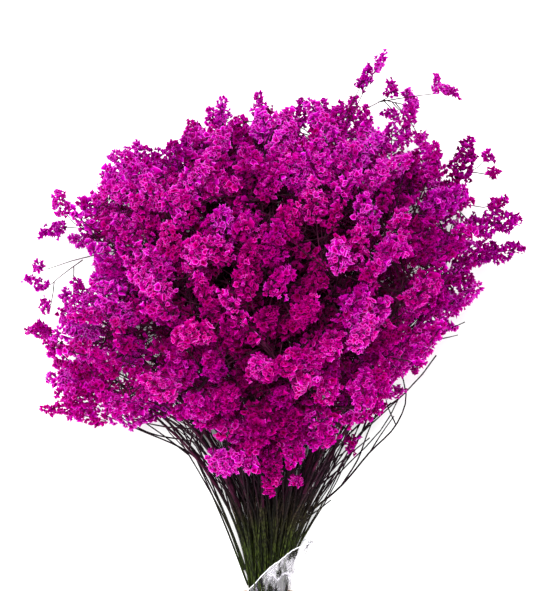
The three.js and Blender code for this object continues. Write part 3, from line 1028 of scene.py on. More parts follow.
@dataclass(frozen=True)
class DriedStem(Finish):
    """Dried stem, ridged along its length: olive at the cut end, stained dark purple where the dye rose."""

    title: str = "dried_ridged_stem"
    dark: str = "#050702"
    olive: str = "#34400f"
    stained: str = "#0c0208"
    wine: str = "#2a061c"
    stain_from: float = 30
    stain_to: float = 80
    # The stain's front is uneven: how coarse its edge is, and how far it wanders.
    front_mm: float = 14
    wander_mm: float = 50
    ridge_mm: float = 0.9
    ridge_depth_mm: float = 0.25
    # Streaks run along the stem, so their pattern is drawn out along Y.
    drawn_out: tuple[float, float, float] = (1, 0.06, 1)
    # How bright the dullest and the brightest strand are.
    dullest: float = 0.15
    brightest: float = 1.25
    roughness: float = 0.7
    specular: float = 0.08
    origin_y: float = 0

    def dress(self, tree: bpy.types.NodeTree, shader: bpy.types.Node) -> None:
        """Sets the shader and adds the ridges and the stain.

        Args:
            tree: The material's nodes.
            shader: Its Principled shader.
        """
        place = add_node(tree, "ShaderNodeTexCoord").outputs["Object"]
        stretched = add_node(
            tree, "ShaderNodeMapping", {"Vector": place, "Scale": self.drawn_out}
        ).outputs["Vector"]
        streaks = add_node(
            tree, "ShaderNodeTexNoise", {"Vector": stretched, "Scale": 1 / (self.ridge_mm * MM), "Detail": 3}
        ).outputs["Fac"]
        tones = [
            add_node(tree, "ShaderNodeValToRGB", {"Fac": streaks}, stops=stops).outputs["Color"]
            for stops in (((0.42, self.dark), (0.7, self.olive)), ((0.4, self.stained), (0.7, self.wine)))
        ]
        level = add_node(tree, "ShaderNodeSeparateXYZ", {"Vector": place}).outputs["Y"]
        front = self.noise(tree, self.front_mm)
        uneven = add_node(
            tree,
            "ShaderNodeMath",
            {0: front, 1: self.wander_mm * MM, 2: level},
            {"operation": "MULTIPLY_ADD"},
        ).outputs["Value"]
        stain = add_node(
            tree,
            "ShaderNodeMapRange",
            {
                "Value": uneven,
                "From Min": self.origin_y + (self.stain_from + self.wander_mm / 2) * MM,
                "From Max": self.origin_y + (self.stain_to + self.wander_mm / 2) * MM,
            },
        ).outputs["Result"]
        mixed = add_node(
            tree, "ShaderNodeMix", {"Factor": stain, 6: tones[0], 7: tones[1]}, {"data_type": "RGBA"}
        )
        strand = add_node(tree, "ShaderNodeAttribute", settings={"attribute_name": "tint"}).outputs["Fac"]
        value = add_node(
            tree, "ShaderNodeMapRange", {"Value": strand, "To Min": self.dullest, "To Max": self.brightest}
        ).outputs["Result"]
        toned = add_node(tree, "ShaderNodeHueSaturation", {"Color": mixed.outputs[2], "Value": value})
        tree.links.new(toned.outputs["Color"], shader.inputs["Base Color"])
        self.bump(tree, shader, streaks, self.ridge_depth_mm)


@dataclass(frozen=True)
class CutPith(Mottled):
    """Cut end of a dried stem: pale, fibrous pith with browner fibres in it."""

    title: str = "cut_pith"
    tones: Stops = ((0.35, "#6e5a34"), (0.6, "#b9a877"))
    patch_mm: float = 0.5
    depth_mm: float = 0.15
    roughness: float = 0.9


FILM_IOR = 1.49


@dataclass(frozen=True)
class WrapFilm(Finish):
    """Clear polypropylene wrap: thin, glossy and creased, with white glints, a grey haze and mirrored stems
    painted into its colour and its opacity.
    """

    title: str = "clear_creased_film"
    haze_and_painted_glare: str = "#e4dfea"
    # A painted reflection of the dark stems in the creases.
    painted_stem_reflection: str = "#43394c"
    # The flat facets between the creases, and the soft ripples in them.
    facet_mm: float = 11
    ripple_mm: float = 5
    # How opaque the film is where it is clear and along its painted glints.
    clear: float = 0.04
    creased: float = 0.5
    # Creases run along the bunch, so their pattern is drawn out along Y.
    drawn_out: tuple[float, float, float] = (1, 0.3, 1)
    # How far the ripples bend the creases, and how high a crease stands.
    bend_mm: float = 4
    crease_depth_mm: float = 1
    # How bright a painted glint stays where the noise dims it, and how much painted sheen a facet can have.
    unlit: float = 0.15
    painted_facet_sheen_most: float = 0.4
    roughness: float = 0.08
    specular: float = 1.0
    ior: float = FILM_IOR

    def dress(self, tree: bpy.types.NodeTree, shader: bpy.types.Node) -> None:
        """Sets the shader and adds the creases, with their painted glints, sheen and reflection.

        Args:
            tree: The material's nodes.
            shader: Its Principled shader.
        """
        place = add_node(tree, "ShaderNodeTexCoord").outputs["Object"]
        place = add_node(
            tree, "ShaderNodeMapping", {"Vector": place, "Scale": self.drawn_out}
        ).outputs["Vector"]
        ripples = add_node(
            tree, "ShaderNodeTexNoise", {"Vector": place, "Scale": 1 / (self.ripple_mm * MM), "Detail": 2.0}
        )
        bend = (self.bend_mm * MM,) * 3
        bent = add_node(
            tree,
            "ShaderNodeVectorMath",
            {0: ripples.outputs["Color"], 1: bend, 2: place},
            {"operation": "MULTIPLY_ADD"},
        ).outputs["Vector"]
        wanted = {"Vector": bent, "Scale": 1 / (self.facet_mm * MM)}
        facets, edges = (
            add_node(tree, "ShaderNodeTexVoronoi", wanted, {"feature": feature})
            for feature in ("F1", "DISTANCE_TO_EDGE")
        )
        # A crease is a painted thin glint, with a painted haze that dies out in the facet.
        stops = ((0.0, "#ffffff"), (0.02, "#e0e0e0"), (0.05, "#505050"), (0.2, "#000000"))
        crease = add_node(tree, "ShaderNodeValToRGB", {"Fac": edges.outputs["Distance"]}, stops=stops)
        # The painted glint shows only where a coarse noise is high, standing in for creases turned to the
        # light.
        turned = self.noise(tree, self.ripple_mm * 2)
        lit = add_node(
            tree,
            "ShaderNodeMapRange",
            {"Value": turned, "From Min": 0.42, "From Max": 0.58, "To Min": self.unlit},
        ).outputs["Result"]
        painted_glint = add_node(
            tree, "ShaderNodeMath", {0: crease.outputs["Color"], 1: lit}, {"operation": "MULTIPLY"}
        ).outputs["Value"]
        # Each facet gets a painted sheen of its own, standing in for another part of the room that it
        # mirrors, so some are milky and others clear.
        facet = add_node(tree, "ShaderNodeSeparateColor", {"Color": facets.outputs["Color"]}).outputs["Red"]
        painted_facet_sheen = add_node(
            tree, "ShaderNodeMapRange", {"Value": facet, "From Min": 0.35, "To Max": self.painted_facet_sheen_most}
        ).outputs["Result"]
        soft = add_node(
            tree, "ShaderNodeMapRange", {"Value": ripples.outputs["Fac"], "From Min": 0.42, "From Max": 0.6}
        ).outputs["Result"]
        painted_sheen = add_node(
            tree, "ShaderNodeMath", {0: painted_facet_sheen, 1: soft}, {"operation": "MULTIPLY"}
        ).outputs["Value"]
        painted_glints_and_sheen = add_node(
            tree, "ShaderNodeMath", {0: painted_glint, 1: painted_sheen}, {"operation": "MAXIMUM"}
        ).outputs["Value"]
        veil = add_node(
            tree, "ShaderNodeMapRange", {"Value": painted_glints_and_sheen, "To Min": self.clear, "To Max": self.creased}
        ).outputs["Result"]
        # The colour is painted: a reflection of the dark stems in some ripples and a pale glare in others.
        stops = ((0.4, self.painted_stem_reflection), (0.52, self.haze_and_painted_glare))
        tone = add_node(tree, "ShaderNodeValToRGB", {"Fac": ripples.outputs["Fac"]}, stops=stops)
        tree.links.new(tone.outputs["Color"], shader.inputs["Base Color"])
        tree.links.new(veil, shader.inputs["Alpha"])
        self.bump(tree, shader, painted_glints_and_sheen, self.crease_depth_mm)


@dataclass(frozen=True)
class FilmEdge(Mottled):
    """Heat-cut edge of the film: the melt draws up in a thin bead, painted near white, partly the cloudy melt
    and partly a painted highlight.
    """

    title: str = "melted_film_edge"
    tones: Stops = ((0.35, "#c9ced6"), (0.6, "#ffffff"))
    patch_mm: float = 2.5
    depth_mm: float = 0.05
    roughness: float = 0.2
    ior: float = FILM_IOR
    alpha: float = 0.8


@dataclass(frozen=True)
class TanRubber(Mottled):
    """Natural rubber band: tan, matt and dusted, with darker, worn patches."""

    title: str = "natural_rubber"
    tones: Stops = ((0.3, "#8d6430"), (0.7, "#c69a5c"))
    patch_mm: float = 4
    detail: float = 4
    grain_mm: float = 0.4
    depth_mm: float = 0.05
    roughness: float = 0.55


@dataclass(frozen=True)
class StudioPaper(Mottled):
    """White paper of a studio floor, matt and even, with a grain that barely shows."""

    title: str = "studio_paper"
    tones: Stops = ((0.4, "#f0f0f0"), (0.6, "#f4f4f4"))
    patch_mm: float = 30
    roughness: float = 0.95
    specular: float = 0.1


# -------------------- shapes that are copied


class Slot(Enum):
    """The record's material slots."""

    STEM = "stem"
    FLORET = "floret"
    FILM = "film"
    BAND = "band"


def draw_out(
    bm: bmesh.types.BMesh, edges: Sequence[bmesh.types.BMEdge]
) -> tuple[list[bmesh.types.BMVert], list[bmesh.types.BMEdge]]:
    """Extrudes a ring of edges in its own place.

    Args:
        bm: The mesh.
        edges: The ring's edges.

    Returns:
        The new ring's vertices and edges.
    """
    grown = bmesh.ops.extrude_edge_only(bm, edges=edges)["geom"]
    points = [item for item in grown if isinstance(item, bmesh.types.BMVert)]
    return points, [item for item in grown if isinstance(item, bmesh.types.BMEdge)]


class Stamp:
    """A small mesh that is copied many times into a bigger one, each time with its own points and values."""

    VALUES = ("petal", "tint", "fade")

    def __init__(self, title: str, build: Callable[[bmesh.types.BMesh], None], finish: int = 0) -> None:
        """Builds the mesh.

        Args:
            title: The mesh's name.
            build: What adds the shape to an empty bmesh.
            finish: The number of the finish that its faces take.
        """
        bm = bmesh.new()
        for value in self.VALUES:
            bm.verts.layers.float.new(value)
        build(bm)
        bmesh.ops.recalc_face_normals(bm, faces=bm.faces[:])
        for face in bm.faces:
            face.material_index = finish
        self.mesh = bpy.data.meshes.new(title)
        bm.to_mesh(self.mesh)
        bm.free()
        self.count = len(self.mesh.vertices)
        self.points = np.zeros(self.count * 3, np.float32)
        self.mesh.vertices.foreach_get("co", self.points)
        self.points = self.points.reshape(-1, 3).astype(float)

    def copy_into(self, bm: bmesh.types.BMesh, points: Vec, **values: float) -> None:
        """Adds one copy to a bigger mesh.

        Args:
            bm: The bigger mesh.
            points: Where the copy's points go.
            **values: The copy's value of each attribute.
        """
        self.mesh.vertices.foreach_set("co", points.astype(np.float32).ravel())
        for name, value in values.items():
            filled = np.full(self.count, value, np.float32)
            self.mesh.attributes[name].data.foreach_set("value", filled)
        bm.from_mesh(self.mesh)

    def drop(self) -> None:
        """Removes the mesh once nothing more is copied."""
        bpy.data.meshes.remove(self.mesh)


@dataclass(frozen=True)
class Floret:
    """One calyx: a funnel with a lobed rim and a hollow throat, standing on its foot and opening to +Z."""

    lobes: int = 5
    length: float = 3.1
    lobe_radius: float = 1.85
    notch_radius: float = 1.3
    notch_drop: float = 0.5
    throat_depth: float = 1.15
    notched: bool = True

    def build(self, bm: bmesh.types.BMesh) -> None:
        """Adds the calyx: a rim, drawn together at the foot outside and in the throat inside.

        Args:
            bm: The mesh, with the stamp's layers.
        """
        petal = bm.verts.layers.float["petal"]
        corners = 2 * self.lobes if self.notched else self.lobes
        rim = bmesh.ops.create_circle(bm, segments=corners, radius=self.lobe_radius)["verts"]
        for number, vertex in enumerate(rim):
            vertex[petal] = 0.5
            vertex.co.z = self.length
            if self.notched and number % 2:
                vertex.co.z -= self.notch_drop
                vertex.co.xy *= self.notch_radius / self.lobe_radius
        edges = bm.edges[:]
        for place, height in ((1.0, 0.0), (0.0, self.length - self.throat_depth)):
            ends, _ = draw_out(bm, edges)
            for vertex in ends:
                vertex[petal] = place
            bmesh.ops.pointmerge(bm, verts=ends, merge_co=(0, 0, height))


@dataclass(frozen=True)
class Rod:
    """A rod of length 1 along +Z with a radius of 1, cut into rings so that it can be bent."""

    sides: int = 5
    rings: int = 6

    def build(self, bm: bmesh.types.BMesh) -> None:
        """Adds the rod, smooth along its side.

        Args:
            bm: The mesh, with the stamp's layers.
        """
        bmesh.ops.create_cone(
            bm, cap_ends=True, segments=self.sides, radius1=1, radius2=1, depth=1,
            matrix=Matrix.Translation((0, 0, 0.5)),
        )
        upright = [edge for edge in bm.edges if abs(edge.verts[0].co.z - edge.verts[1].co.z) > 0.5]
        if self.rings > 1:
            bmesh.ops.subdivide_edges(bm, edges=upright, cuts=self.rings - 1, use_grid_fill=True)
        petal = bm.verts.layers.float["petal"]
        for vertex in bm.verts:
            vertex[petal] = vertex.co.z
        for face in bm.faces:
            face.smooth = len(face.verts) == 4

    @staticmethod
    def bent(
        points: Vec, path: Callable[[Vec], Vec], radii: Pair, stout: float = 1
    ) -> Vec:
        """The rod's points bent along a path.

        Args:
            points: The straight rod's points.
            path: Gives the places at shares of the rod's length.
            radii: The radius at each of its ends.
            stout: How many times as thick it is.

        Returns:
            The bent points.
        """
        share = points[:, 2]
        places = path(share)
        step = 1e-3
        ahead = path(np.minimum(share + step, 1)) - path(np.maximum(share - step, 0))
        ahead /= np.linalg.norm(ahead, axis=1)[:, None]
        side = np.cross(ahead, np.where(np.abs(ahead[:, 2:]) > STEEP, [ACROSS], [UP]))
        side /= np.linalg.norm(side, axis=1)[:, None]
        over = np.cross(ahead, side)
        thick = stout * (radii[0] + (radii[1] - radii[0]) * share)[:, None]
        return places + thick * (points[:, :1] * side + points[:, 1:2] * over)


# -------------------- pieces


def to_frame() -> Matrix:
    """The way from the bunch's own millimetres to the frame's metres, found from the band.

    Returns:
        The matrix.
    """
    low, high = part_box("band")
    middle = (low + high) / 2
    return Matrix.Translation((middle.x, middle.y, 0)) @ Matrix.Scale(MM, 4)


def add_piece(
    name: str, bm: bmesh.types.BMesh, finishes: Sequence[Finish], nodes: Sequence[str]
) -> bpy.types.Object:
    """Makes a piece of the bunch from a mesh in its own millimetres.

    Args:
        name: The piece's name.
        bm: The mesh, which is freed.
        finishes: Its finishes, in the order of the faces' material numbers.
        nodes: The CAD nodes that it stands for.

    Returns:
        The piece.
    """
    bmesh.ops.transform(bm, matrix=to_frame(), verts=bm.verts[:])
    mesh = bpy.data.meshes.new(name)
    bm.to_mesh(mesh)
    bm.free()
    for finish in finishes:
        mesh.materials.append(finish.material())
    piece = bpy.data.objects.new(name, mesh)
    bpy.context.scene.collection.objects.link(piece)
    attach(piece, "root")
    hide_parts(*nodes)
    return piece


# The colour map's rim, and the foot, span and stagger of a row, as shares of its whole and of a row.
MAP_RIM = 0.01
ROW_FOOT = 0.1
ROW_SPAN = 0.75
ROW_STAGGER = 0.06


def lay_calyx_colour_map(mesh: bpy.types.Mesh, rows: int) -> None:
    """Lays the UV map in which each colour of the calyx, painted shade and highlight included, has one place,
    whatever floret it is on.

    Across is the place along the calyx. Up are rows of one tint each, with the fading and its painted shade
    inside a row.

    Args:
        mesh: A mesh with the stamps' values.
        rows: How many tints there are. The twigs have one row more.
    """
    values = {}
    for name in Stamp.VALUES:
        values[name] = np.zeros(len(mesh.vertices), np.float32)
        mesh.attributes[name].data.foreach_get("value", values[name])
    corners = np.zeros(len(mesh.loops), np.int32)
    mesh.loops.foreach_get("vertex_index", corners)
    row = np.floor(values["tint"] * rows)
    # Every second point is a little higher, so that no face is a line.
    stagger = ROW_STAGGER * (np.arange(len(mesh.vertices)) % 2)
    lift = ROW_FOOT + ROW_SPAN * values["fade"] + stagger
    across = MAP_RIM + (1 - 2 * MAP_RIM) * values["petal"]
    places = np.stack([across, (row + lift) / (rows + 1)], axis=1)[corners]
    layer = mesh.uv_layers.new(name="OFBake")
    layer.uv.foreach_set("vector", places.astype(np.float32).ravel())


@dataclass(frozen=True)
class Flowering:
    """How a plume of one habit flowers, with 1 for a full plume's width, room, size and closed share."""

    swell: float = 1
    room: float = 1
    # How much of its radius is gone at the tip.
    point: float = 0.66
    # How far the florets at its base lean out, in degrees.
    lean: float = 72
    size: float = 1
    closed: float = 1


FLOWERING = {
    Habit.FULL: Flowering(),
    Habit.LOOSE: Flowering(swell=1.15, room=0.6, point=0.7, lean=52, size=0.85, closed=0.3),
    Habit.SMALL: Flowering(swell=1.25, room=1.5),
}


@dataclass(frozen=True)
class Stand:
    """How the florets of one plume stand: their feet, the three ways of each, their sizes and lumps."""

    feet: Vec
    ways: Vec
    sizes: Vec
    lumps: Vec


@dataclass
class DyedSprays:
    """The dyed sprays: for each stem its axis, its twigs and its plumes of florets, in one piece."""

    seed: int = 5
    axis_radii: Pair = (1.15, 0.7)
    axis_corners: int = 9
    twig_radii: Pair = (0.7, 0.3)
    loose_radii: Pair = (0.42, 0.22)
    # How far a twig strays in its middle, and how far it reaches into its plume.
    twig_sag: float = 1.2
    heart: float = 0.8
    # How high over the table a twig stays, and a floret that is pressed flat on it.
    twig_height: float = 0.2
    pressed_height: float = 0.15
    pressed_share: float = 0.05
    # The outline of a plume, as shares of its widest radius and of its length.
    plume_reach: float = 0.94
    foot_width: float = 0.6
    widest_at: float = 0.3
    closing: float = 1.7
    outline_steps: int = 80
    # Lumps on it: their heights as shares of its radius, and the lengths over which they turn.
    lump_heights: tuple[float, float, float] = (0.25, 0.2, 0.1)
    lump_lengths: Pair = (2.6, 1.7)
    lumped_width: float = 0.94
    plume_bend: float = 0.04
    # The room of a floret on the plume, in square millimetres.
    area_each: float = 7.7
    least_florets: int = 5
    floret_sizes: Pair = (0.72, 1.28)
    # How far florets stray round the plume, in radians, out of it, and in their lean, in degrees.
    turn_spread: float = 0.35
    rim_spread: float = 0.8
    lean_spread: float = 36
    # How much more upright they are at the tip, in degrees, and how near the middle a foot may be.
    upright: float = 40
    foot_least: float = 0.2
    # The share of florets that open deep inside the mass, and how it rises towards the outside.
    inner_share: float = 0.8
    opening: float = 2.6
    hollow: float = -0.26
    closed_share: float = 0.26
    closed_width: float = 0.6
    # How far the corners of a crumpled rim stray, as a share of its radius, and the whole calyx with it.
    ragged: float = 0.2
    crumple: float = 0.26
    crumple_most: float = 0.5
    tints: int = 12
    # How much redder the dye is inside the mass, and how far from the band it starts to turn violet.
    violet_out: float = 0.4
    violet_from: float = 60
    violet_over: float = 160
    # How far the dye of a plume has faded, and how unevenly the sprays take it up.
    fades: Pair = (0.23, 0.68)
    faded_out: float = 0.1
    dye_spread: float = 0.16
    fade_spread: float = 0.17
    dye: float = field(default=0, init=False)
    # Deep in the mass the florets are painted darker, as painted shade: how fast the painted light rises
    # outwards, where it starts, and its least share.
    light_rise: float = 1.6
    light_start: float = 0.45
    least_light: float = 0.1
    # The more a floret has faded and the more painted light it has, the more violet it is. The tint also
    # strays, for a plume and for a floret.
    tint_least: float = 0.1
    tint_rise: float = 0.9
    middle_fade: float = 0.45
    plume_tints: float = 0.14
    floret_tints: float = 0.12
    fillers: tuple[Shell, ...] = (
        Shell(1.02, 130, 0.4, -0.6), Shell(0.9, 110, 0.98, -0.6), Shell(0.74, 130, 0.97, -0.7),
        Shell(0.55, 130, 0.95, -0.9), Shell(0.35, 110, 0.9, -0.95), Shell(0.15, 50, 0.9, -0.95),
        Shell(0.92, 70, -0.45, -0.97), Shell(0.7, 50, -0.55, -0.98), Shell(0.45, 30, -0.6, -0.98),
    )
    filler_size: float = 0.5
    filler_lengths: Pair = (16, 28)
    filler_turn: float = 1
    filler_loose: float = 9
    filler_stray: float = 0.5
    wires: int = 3
    wire_roots: Pair = (0.1, 0.9)
    wire_lengths: Pair = (22, 48)
    wire_radii: Pair = (0.42, 0.25)
    wire_stray: float = 0.7
    wire_sag: float = 2
    wire_depth: float = 0.92
    # Wires that would hang out of the underside turn up from this height.
    wires_turn_up: float = 60
    floret: Floret = field(default_factory=Floret)
    plain_floret: Floret = field(default_factory=lambda: Floret(notched=False))

    def build(self, bunch: Bunch) -> list[bpy.types.Object]:
        """Builds every spray.

        Args:
            bunch: The grown bunch, to which the small plumes between the others are added.

        Returns:
            The pieces, one for each stem.
        """
        self.rng = np.random.default_rng(self.seed)
        self.uptake = np.random.default_rng(self.seed + 1)
        self.calyx = Stamp("calyx", self.floret.build)
        self.plain_calyx = Stamp("plain_calyx", self.plain_floret.build)
        self.rod = Stamp("twig", Rod(5, 5).build, finish=1)
        self.small_rod = Stamp("small_twig", Rod(3, 3).build, finish=1)
        self.wire = Stamp("wire", Rod(3, 2).build, finish=1)
        self.grow_fillers(bunch)
        sprays = [self.spray(number, stem) for number, stem in enumerate(bunch.stems, 1)]
        for stamp in (self.calyx, self.plain_calyx, self.rod, self.small_rod, self.wire):
            stamp.drop()
        return sprays

    def grow_fillers(self, bunch: Bunch) -> None:
        """Adds small plumes wherever the mass has room left.

        Args:
            bunch: The grown bunch.
        """
        for number, shell in enumerate(self.fillers):
            for k in range(shell.plumes):
                rise = shell.top + (shell.bottom - shell.top) * (k + 0.5) / shell.plumes
                angle = (k + number) * GOLDEN_ANGLE + self.filler_turn
                place = shell_point(shell.share, angle, rise)
                length = bunch.draws.between(*self.filler_lengths)
                if not is_throat(place):
                    bunch.grow_plume(
                        place, plume_way(place), self.filler_size, length,
                        self.filler_loose, self.filler_stray, Habit.SMALL,
                    )

    def spray(self, number: int, stem: Stem) -> bpy.types.Object:
        """Builds the spray of one stem.

        Args:
            number: The stem's number, from 1.
            stem: The stem.

        Returns:
            The piece.
        """
        self.dye = self.uptake.normal(0, self.dye_spread)
        bm = bmesh.new()
        first = stem.fork + STEM.gap
        corners = stem.stretch(first, stem.end - first, np.linspace(0, 1, self.axis_corners))
        self.add_rod(bm, self.rod, corners, self.axis_radii)
        for plume in stem.plumes:
            sag = self.rng.normal(0, self.twig_sag, 3)
            middle = (plume.root + plume.base) / 2 + sag
            heart = plume.base + (plume.tip - plume.base) * self.heart
            radii = self.loose_radii if plume.habit is Habit.LOOSE else self.twig_radii
            rod = self.small_rod if plume.habit is Habit.SMALL else self.rod
            self.add_rod(bm, rod, np.array([plume.root, middle, plume.base, heart]), radii)
            self.add_florets(bm, plume)
            for _ in range(self.wires if plume.habit is not Habit.LOOSE else 0):
                self.add_wire(bm, plume)
        name = f"dyed_spray_{number:02d}"
        spray = add_piece(name, bm, (DyedCalyx(), DyedTwig()), [f"spray_{number:02d}"])
        lay_calyx_colour_map(spray.data, self.tints)
        return spray

    def add_wire(self, bm: bmesh.types.BMesh, plume: Plume) -> None:
        """Adds a bare wiry twig that leaves the twig of a plume at an angle.

        Args:
            bm: The spray's mesh.
            plume: The plume.
        """
        rng = self.rng
        start = plume.root + (plume.base - plume.root) * rng.uniform(*self.wire_roots)
        way = unit(unit(plume.base - plume.root) + rng.normal(0, self.wire_stray, 3))
        end = start + way * rng.uniform(*self.wire_lengths)
        if end[2] < self.wires_turn_up:
            end[2] = start[2] + abs(end[2] - start[2])
        if depth_of(end) < self.wire_depth:
            middle = (start + end) / 2 + rng.normal(0, self.wire_sag, 3)
            self.add_rod(bm, self.wire, np.array([start, middle, end]), self.wire_radii)

    def add_rod(self, bm: bmesh.types.BMesh, stamp: Stamp, corners: Vec, radii: Pair) -> None:
        """Adds a tapered twig through some corners.

        Args:
            bm: The spray's mesh.
            stamp: The rod that is bent to it.
            corners: The corners, which the twig passes evenly.
            radii: Its radius at its two ends.
        """
        steps = np.linspace(0, 1, len(corners))

        def path(share: Vec) -> Vec:
            """The twig's straight way from corner to corner, at shares of its length."""
            return np.stack([np.interp(share, steps, corners[:, axis]) for axis in range(3)], axis=1)

        points = Rod.bent(stamp.points, path, radii)
        points[:, 2] = np.maximum(points[:, 2], self.twig_height)
        stamp.copy_into(bm, points, tint=1.0, fade=self.rng.uniform())

    def profile(self, share: Vec, point: float) -> Vec:
        """The plume's radius, as a share of its widest, at shares of its length.

        Args:
            share: The shares of the length.
            point: How much of the radius is gone at the tip.

        Returns:
            The radii.
        """
        opening = np.sin(np.minimum(share / self.widest_at, 1) * math.pi / 2)
        swell = self.foot_width + (1 - self.foot_width) * opening
        past = np.maximum(0, (share - self.widest_at) / (1 - self.widest_at))
        return swell * (1 - point * past**self.closing)

    def lumps(self, length: float, share: Vec, turn: Vec) -> Vec:
        """How far a plume's lumps stand out of it, as shares of its radius.

        Args:
            length: The plume's length.
            share: The florets' shares of it.
            turn: Their angles round it.

        Returns:
            The heights, negative in its hollows.
        """
        waves = self.rng.uniform(0, 2 * math.pi, 3)
        coarse, fine, lobed = self.lump_heights
        lump = coarse * np.cos(length / self.lump_lengths[0] * share + waves[0] + turn)
        finer = fine * np.cos(length / self.lump_lengths[1] * share + waves[1] - 2 * turn)
        lump += finer + lobed * np.cos(3 * turn + waves[2])
        return lump

    def stand(self, plume: Plume, form: Flowering) -> Stand:
        """Sets the florets of one plume in a spiral round it, from its base to its tip.

        Args:
            plume: The plume.
            form: How it flowers.

        Returns:
            How its florets stand.
        """
        rng = self.rng
        radius = PLUME.radius * plume.size * self.plume_reach * form.swell
        length = float(np.linalg.norm(plume.tip - plume.base))
        grid = np.linspace(0, 1, self.outline_steps)
        outline = self.profile(grid, form.point)
        room = self.area_each * form.room
        count = max(self.least_florets, int(2 * math.pi * radius * length * outline.mean() / room))
        filled = np.cumsum(outline) / outline.sum()
        share = np.interp((np.arange(count) + rng.uniform(0, 1, count)) / count, filled, grid)
        ahead = unit(plume.tip - plume.base)
        side = unit(np.cross(ahead, UP if abs(ahead[2]) < STEEP else ACROSS))
        over = np.cross(side, ahead)
        turn = np.arange(count) * GOLDEN_ANGLE + rng.normal(0, self.turn_spread, count)
        outward = np.outer(np.cos(turn), side) + np.outer(np.sin(turn), over)
        lean = form.lean - self.upright * share**3 + rng.normal(0, self.lean_spread, count)
        lean = np.radians(lean)[:, None]
        facing = outward * np.sin(lean) + ahead * np.cos(lean)
        sizes = rng.uniform(*self.floret_sizes, count)[:, None] * form.size
        bend = (side * rng.normal(0, 1) + over * rng.normal(0, 1)) * self.plume_bend * length
        centre = plume.base + np.outer(share * length, ahead) + np.outer(np.sin(math.pi * share), bend)
        lumps = self.lumps(length, share, turn)
        rim = radius * self.profile(share, form.point) * (self.lumped_width + lumps)
        rim = (rim + rng.normal(0, self.rim_spread, count))[:, None]
        tall = self.floret.length * sizes
        feet = centre + outward * np.maximum(self.foot_least, rim - tall * np.sin(lean))
        feet = feet - ahead * tall * np.cos(lean)
        across = np.cross(facing, rng.normal(0, 1, (count, 3)))
        across /= np.linalg.norm(across, axis=1)[:, None]
        ways = np.stack([across, np.cross(facing, across), facing], axis=1)
        return Stand(feet, ways, sizes, lumps)

    def chance(self, place: Vec) -> float:
        """The chance of a floret at a place: few open where the light of the outside never reaches."""
        return max(self.inner_share, self.opening * depth_of(place) - 1)

    def add_florets(self, bm: bmesh.types.BMesh, plume: Plume) -> None:
        """Adds the florets of one plume, each with a crumple of its own.

        Args:
            bm: The spray's mesh.
            plume: The plume.
        """
        rng = self.rng
        form = FLOWERING[plume.habit]
        stamp = self.plain_calyx if plume.habit is Habit.SMALL else self.calyx
        stand = self.stand(plume, form)
        tint, fade = self.tones(plume, stand.feet)
        shape = stamp.points
        count = len(stand.feet)
        ragged = rng.normal(0, self.ragged, (count, *shape.shape)) * [1, 1, self.floret.notch_drop]
        ragged *= (shape[:, 2:] > 0) * self.floret.lobe_radius
        crumple = 1 + rng.normal(0, self.crumple, (count, 3)).clip(-self.crumple_most, self.crumple_most)
        closed = rng.uniform(0, 1, count) < self.closed_share * form.closed
        crumple[closed, :2] *= self.closed_width
        for k, foot in enumerate(stand.feet):
            # None stands in the plume's hollows.
            if stand.lumps[k] < self.hollow or rng.uniform() > self.chance(foot):
                continue
            turned = ((shape + ragged[k]) * crumple[k]) @ stand.ways[k]
            points = foot + turned * stand.sizes[k]
            # What would be under the table is pressed flat on it.
            pressed = self.pressed_height + self.pressed_share * shape[:, 2]
            points[:, 2] = np.maximum(points[:, 2], pressed)
            stamp.copy_into(bm, points, tint=tint[k], fade=fade[k])

    def tones(self, plume: Plume, places: Vec) -> tuple[Vec, Vec]:
        """The dye's tint and fading on each floret of a plume, with painted shade deep in the mass: most of
        it is the plume's own.

        Args:
            plume: The plume.
            places: Where its florets stand.

        Returns:
            The tints, and the fading with the painted shade in it, from 0 to 1.
        """
        # Seen from above, the sprays are redder towards the middle and the stems, where the dye is deeper.
        out = depth_of(plume.tip * (1, 1, 0)) ** 2
        ahead = (plume.tip[1] - self.violet_from) / self.violet_over
        violet = self.violet_out * out * min(1.0, max(0.0, ahead))
        own_fade = self.rng.uniform(*self.fades) + self.faded_out * out + self.dye
        # Florets deep in the mass are painted darker, as painted shade: their fading is scaled by a painted
        # light share.
        light = [self.light_rise * depth_of(place) - self.light_start for place in places]
        painted_light_share = np.clip(light, self.least_light, 1)
        count = len(places)
        fade = (own_fade + self.rng.normal(0, self.fade_spread, count)) * painted_light_share
        tint = self.tint_least + violet + self.tint_rise * (fade - self.middle_fade)
        tint = tint + self.rng.normal(0, self.plume_tints)
        tint = np.clip(tint + self.rng.normal(0, self.floret_tints, count), 0, 0.999)
        return (np.floor(tint * self.tints) + 0.5) / self.tints, np.clip(fade, 0, 1)


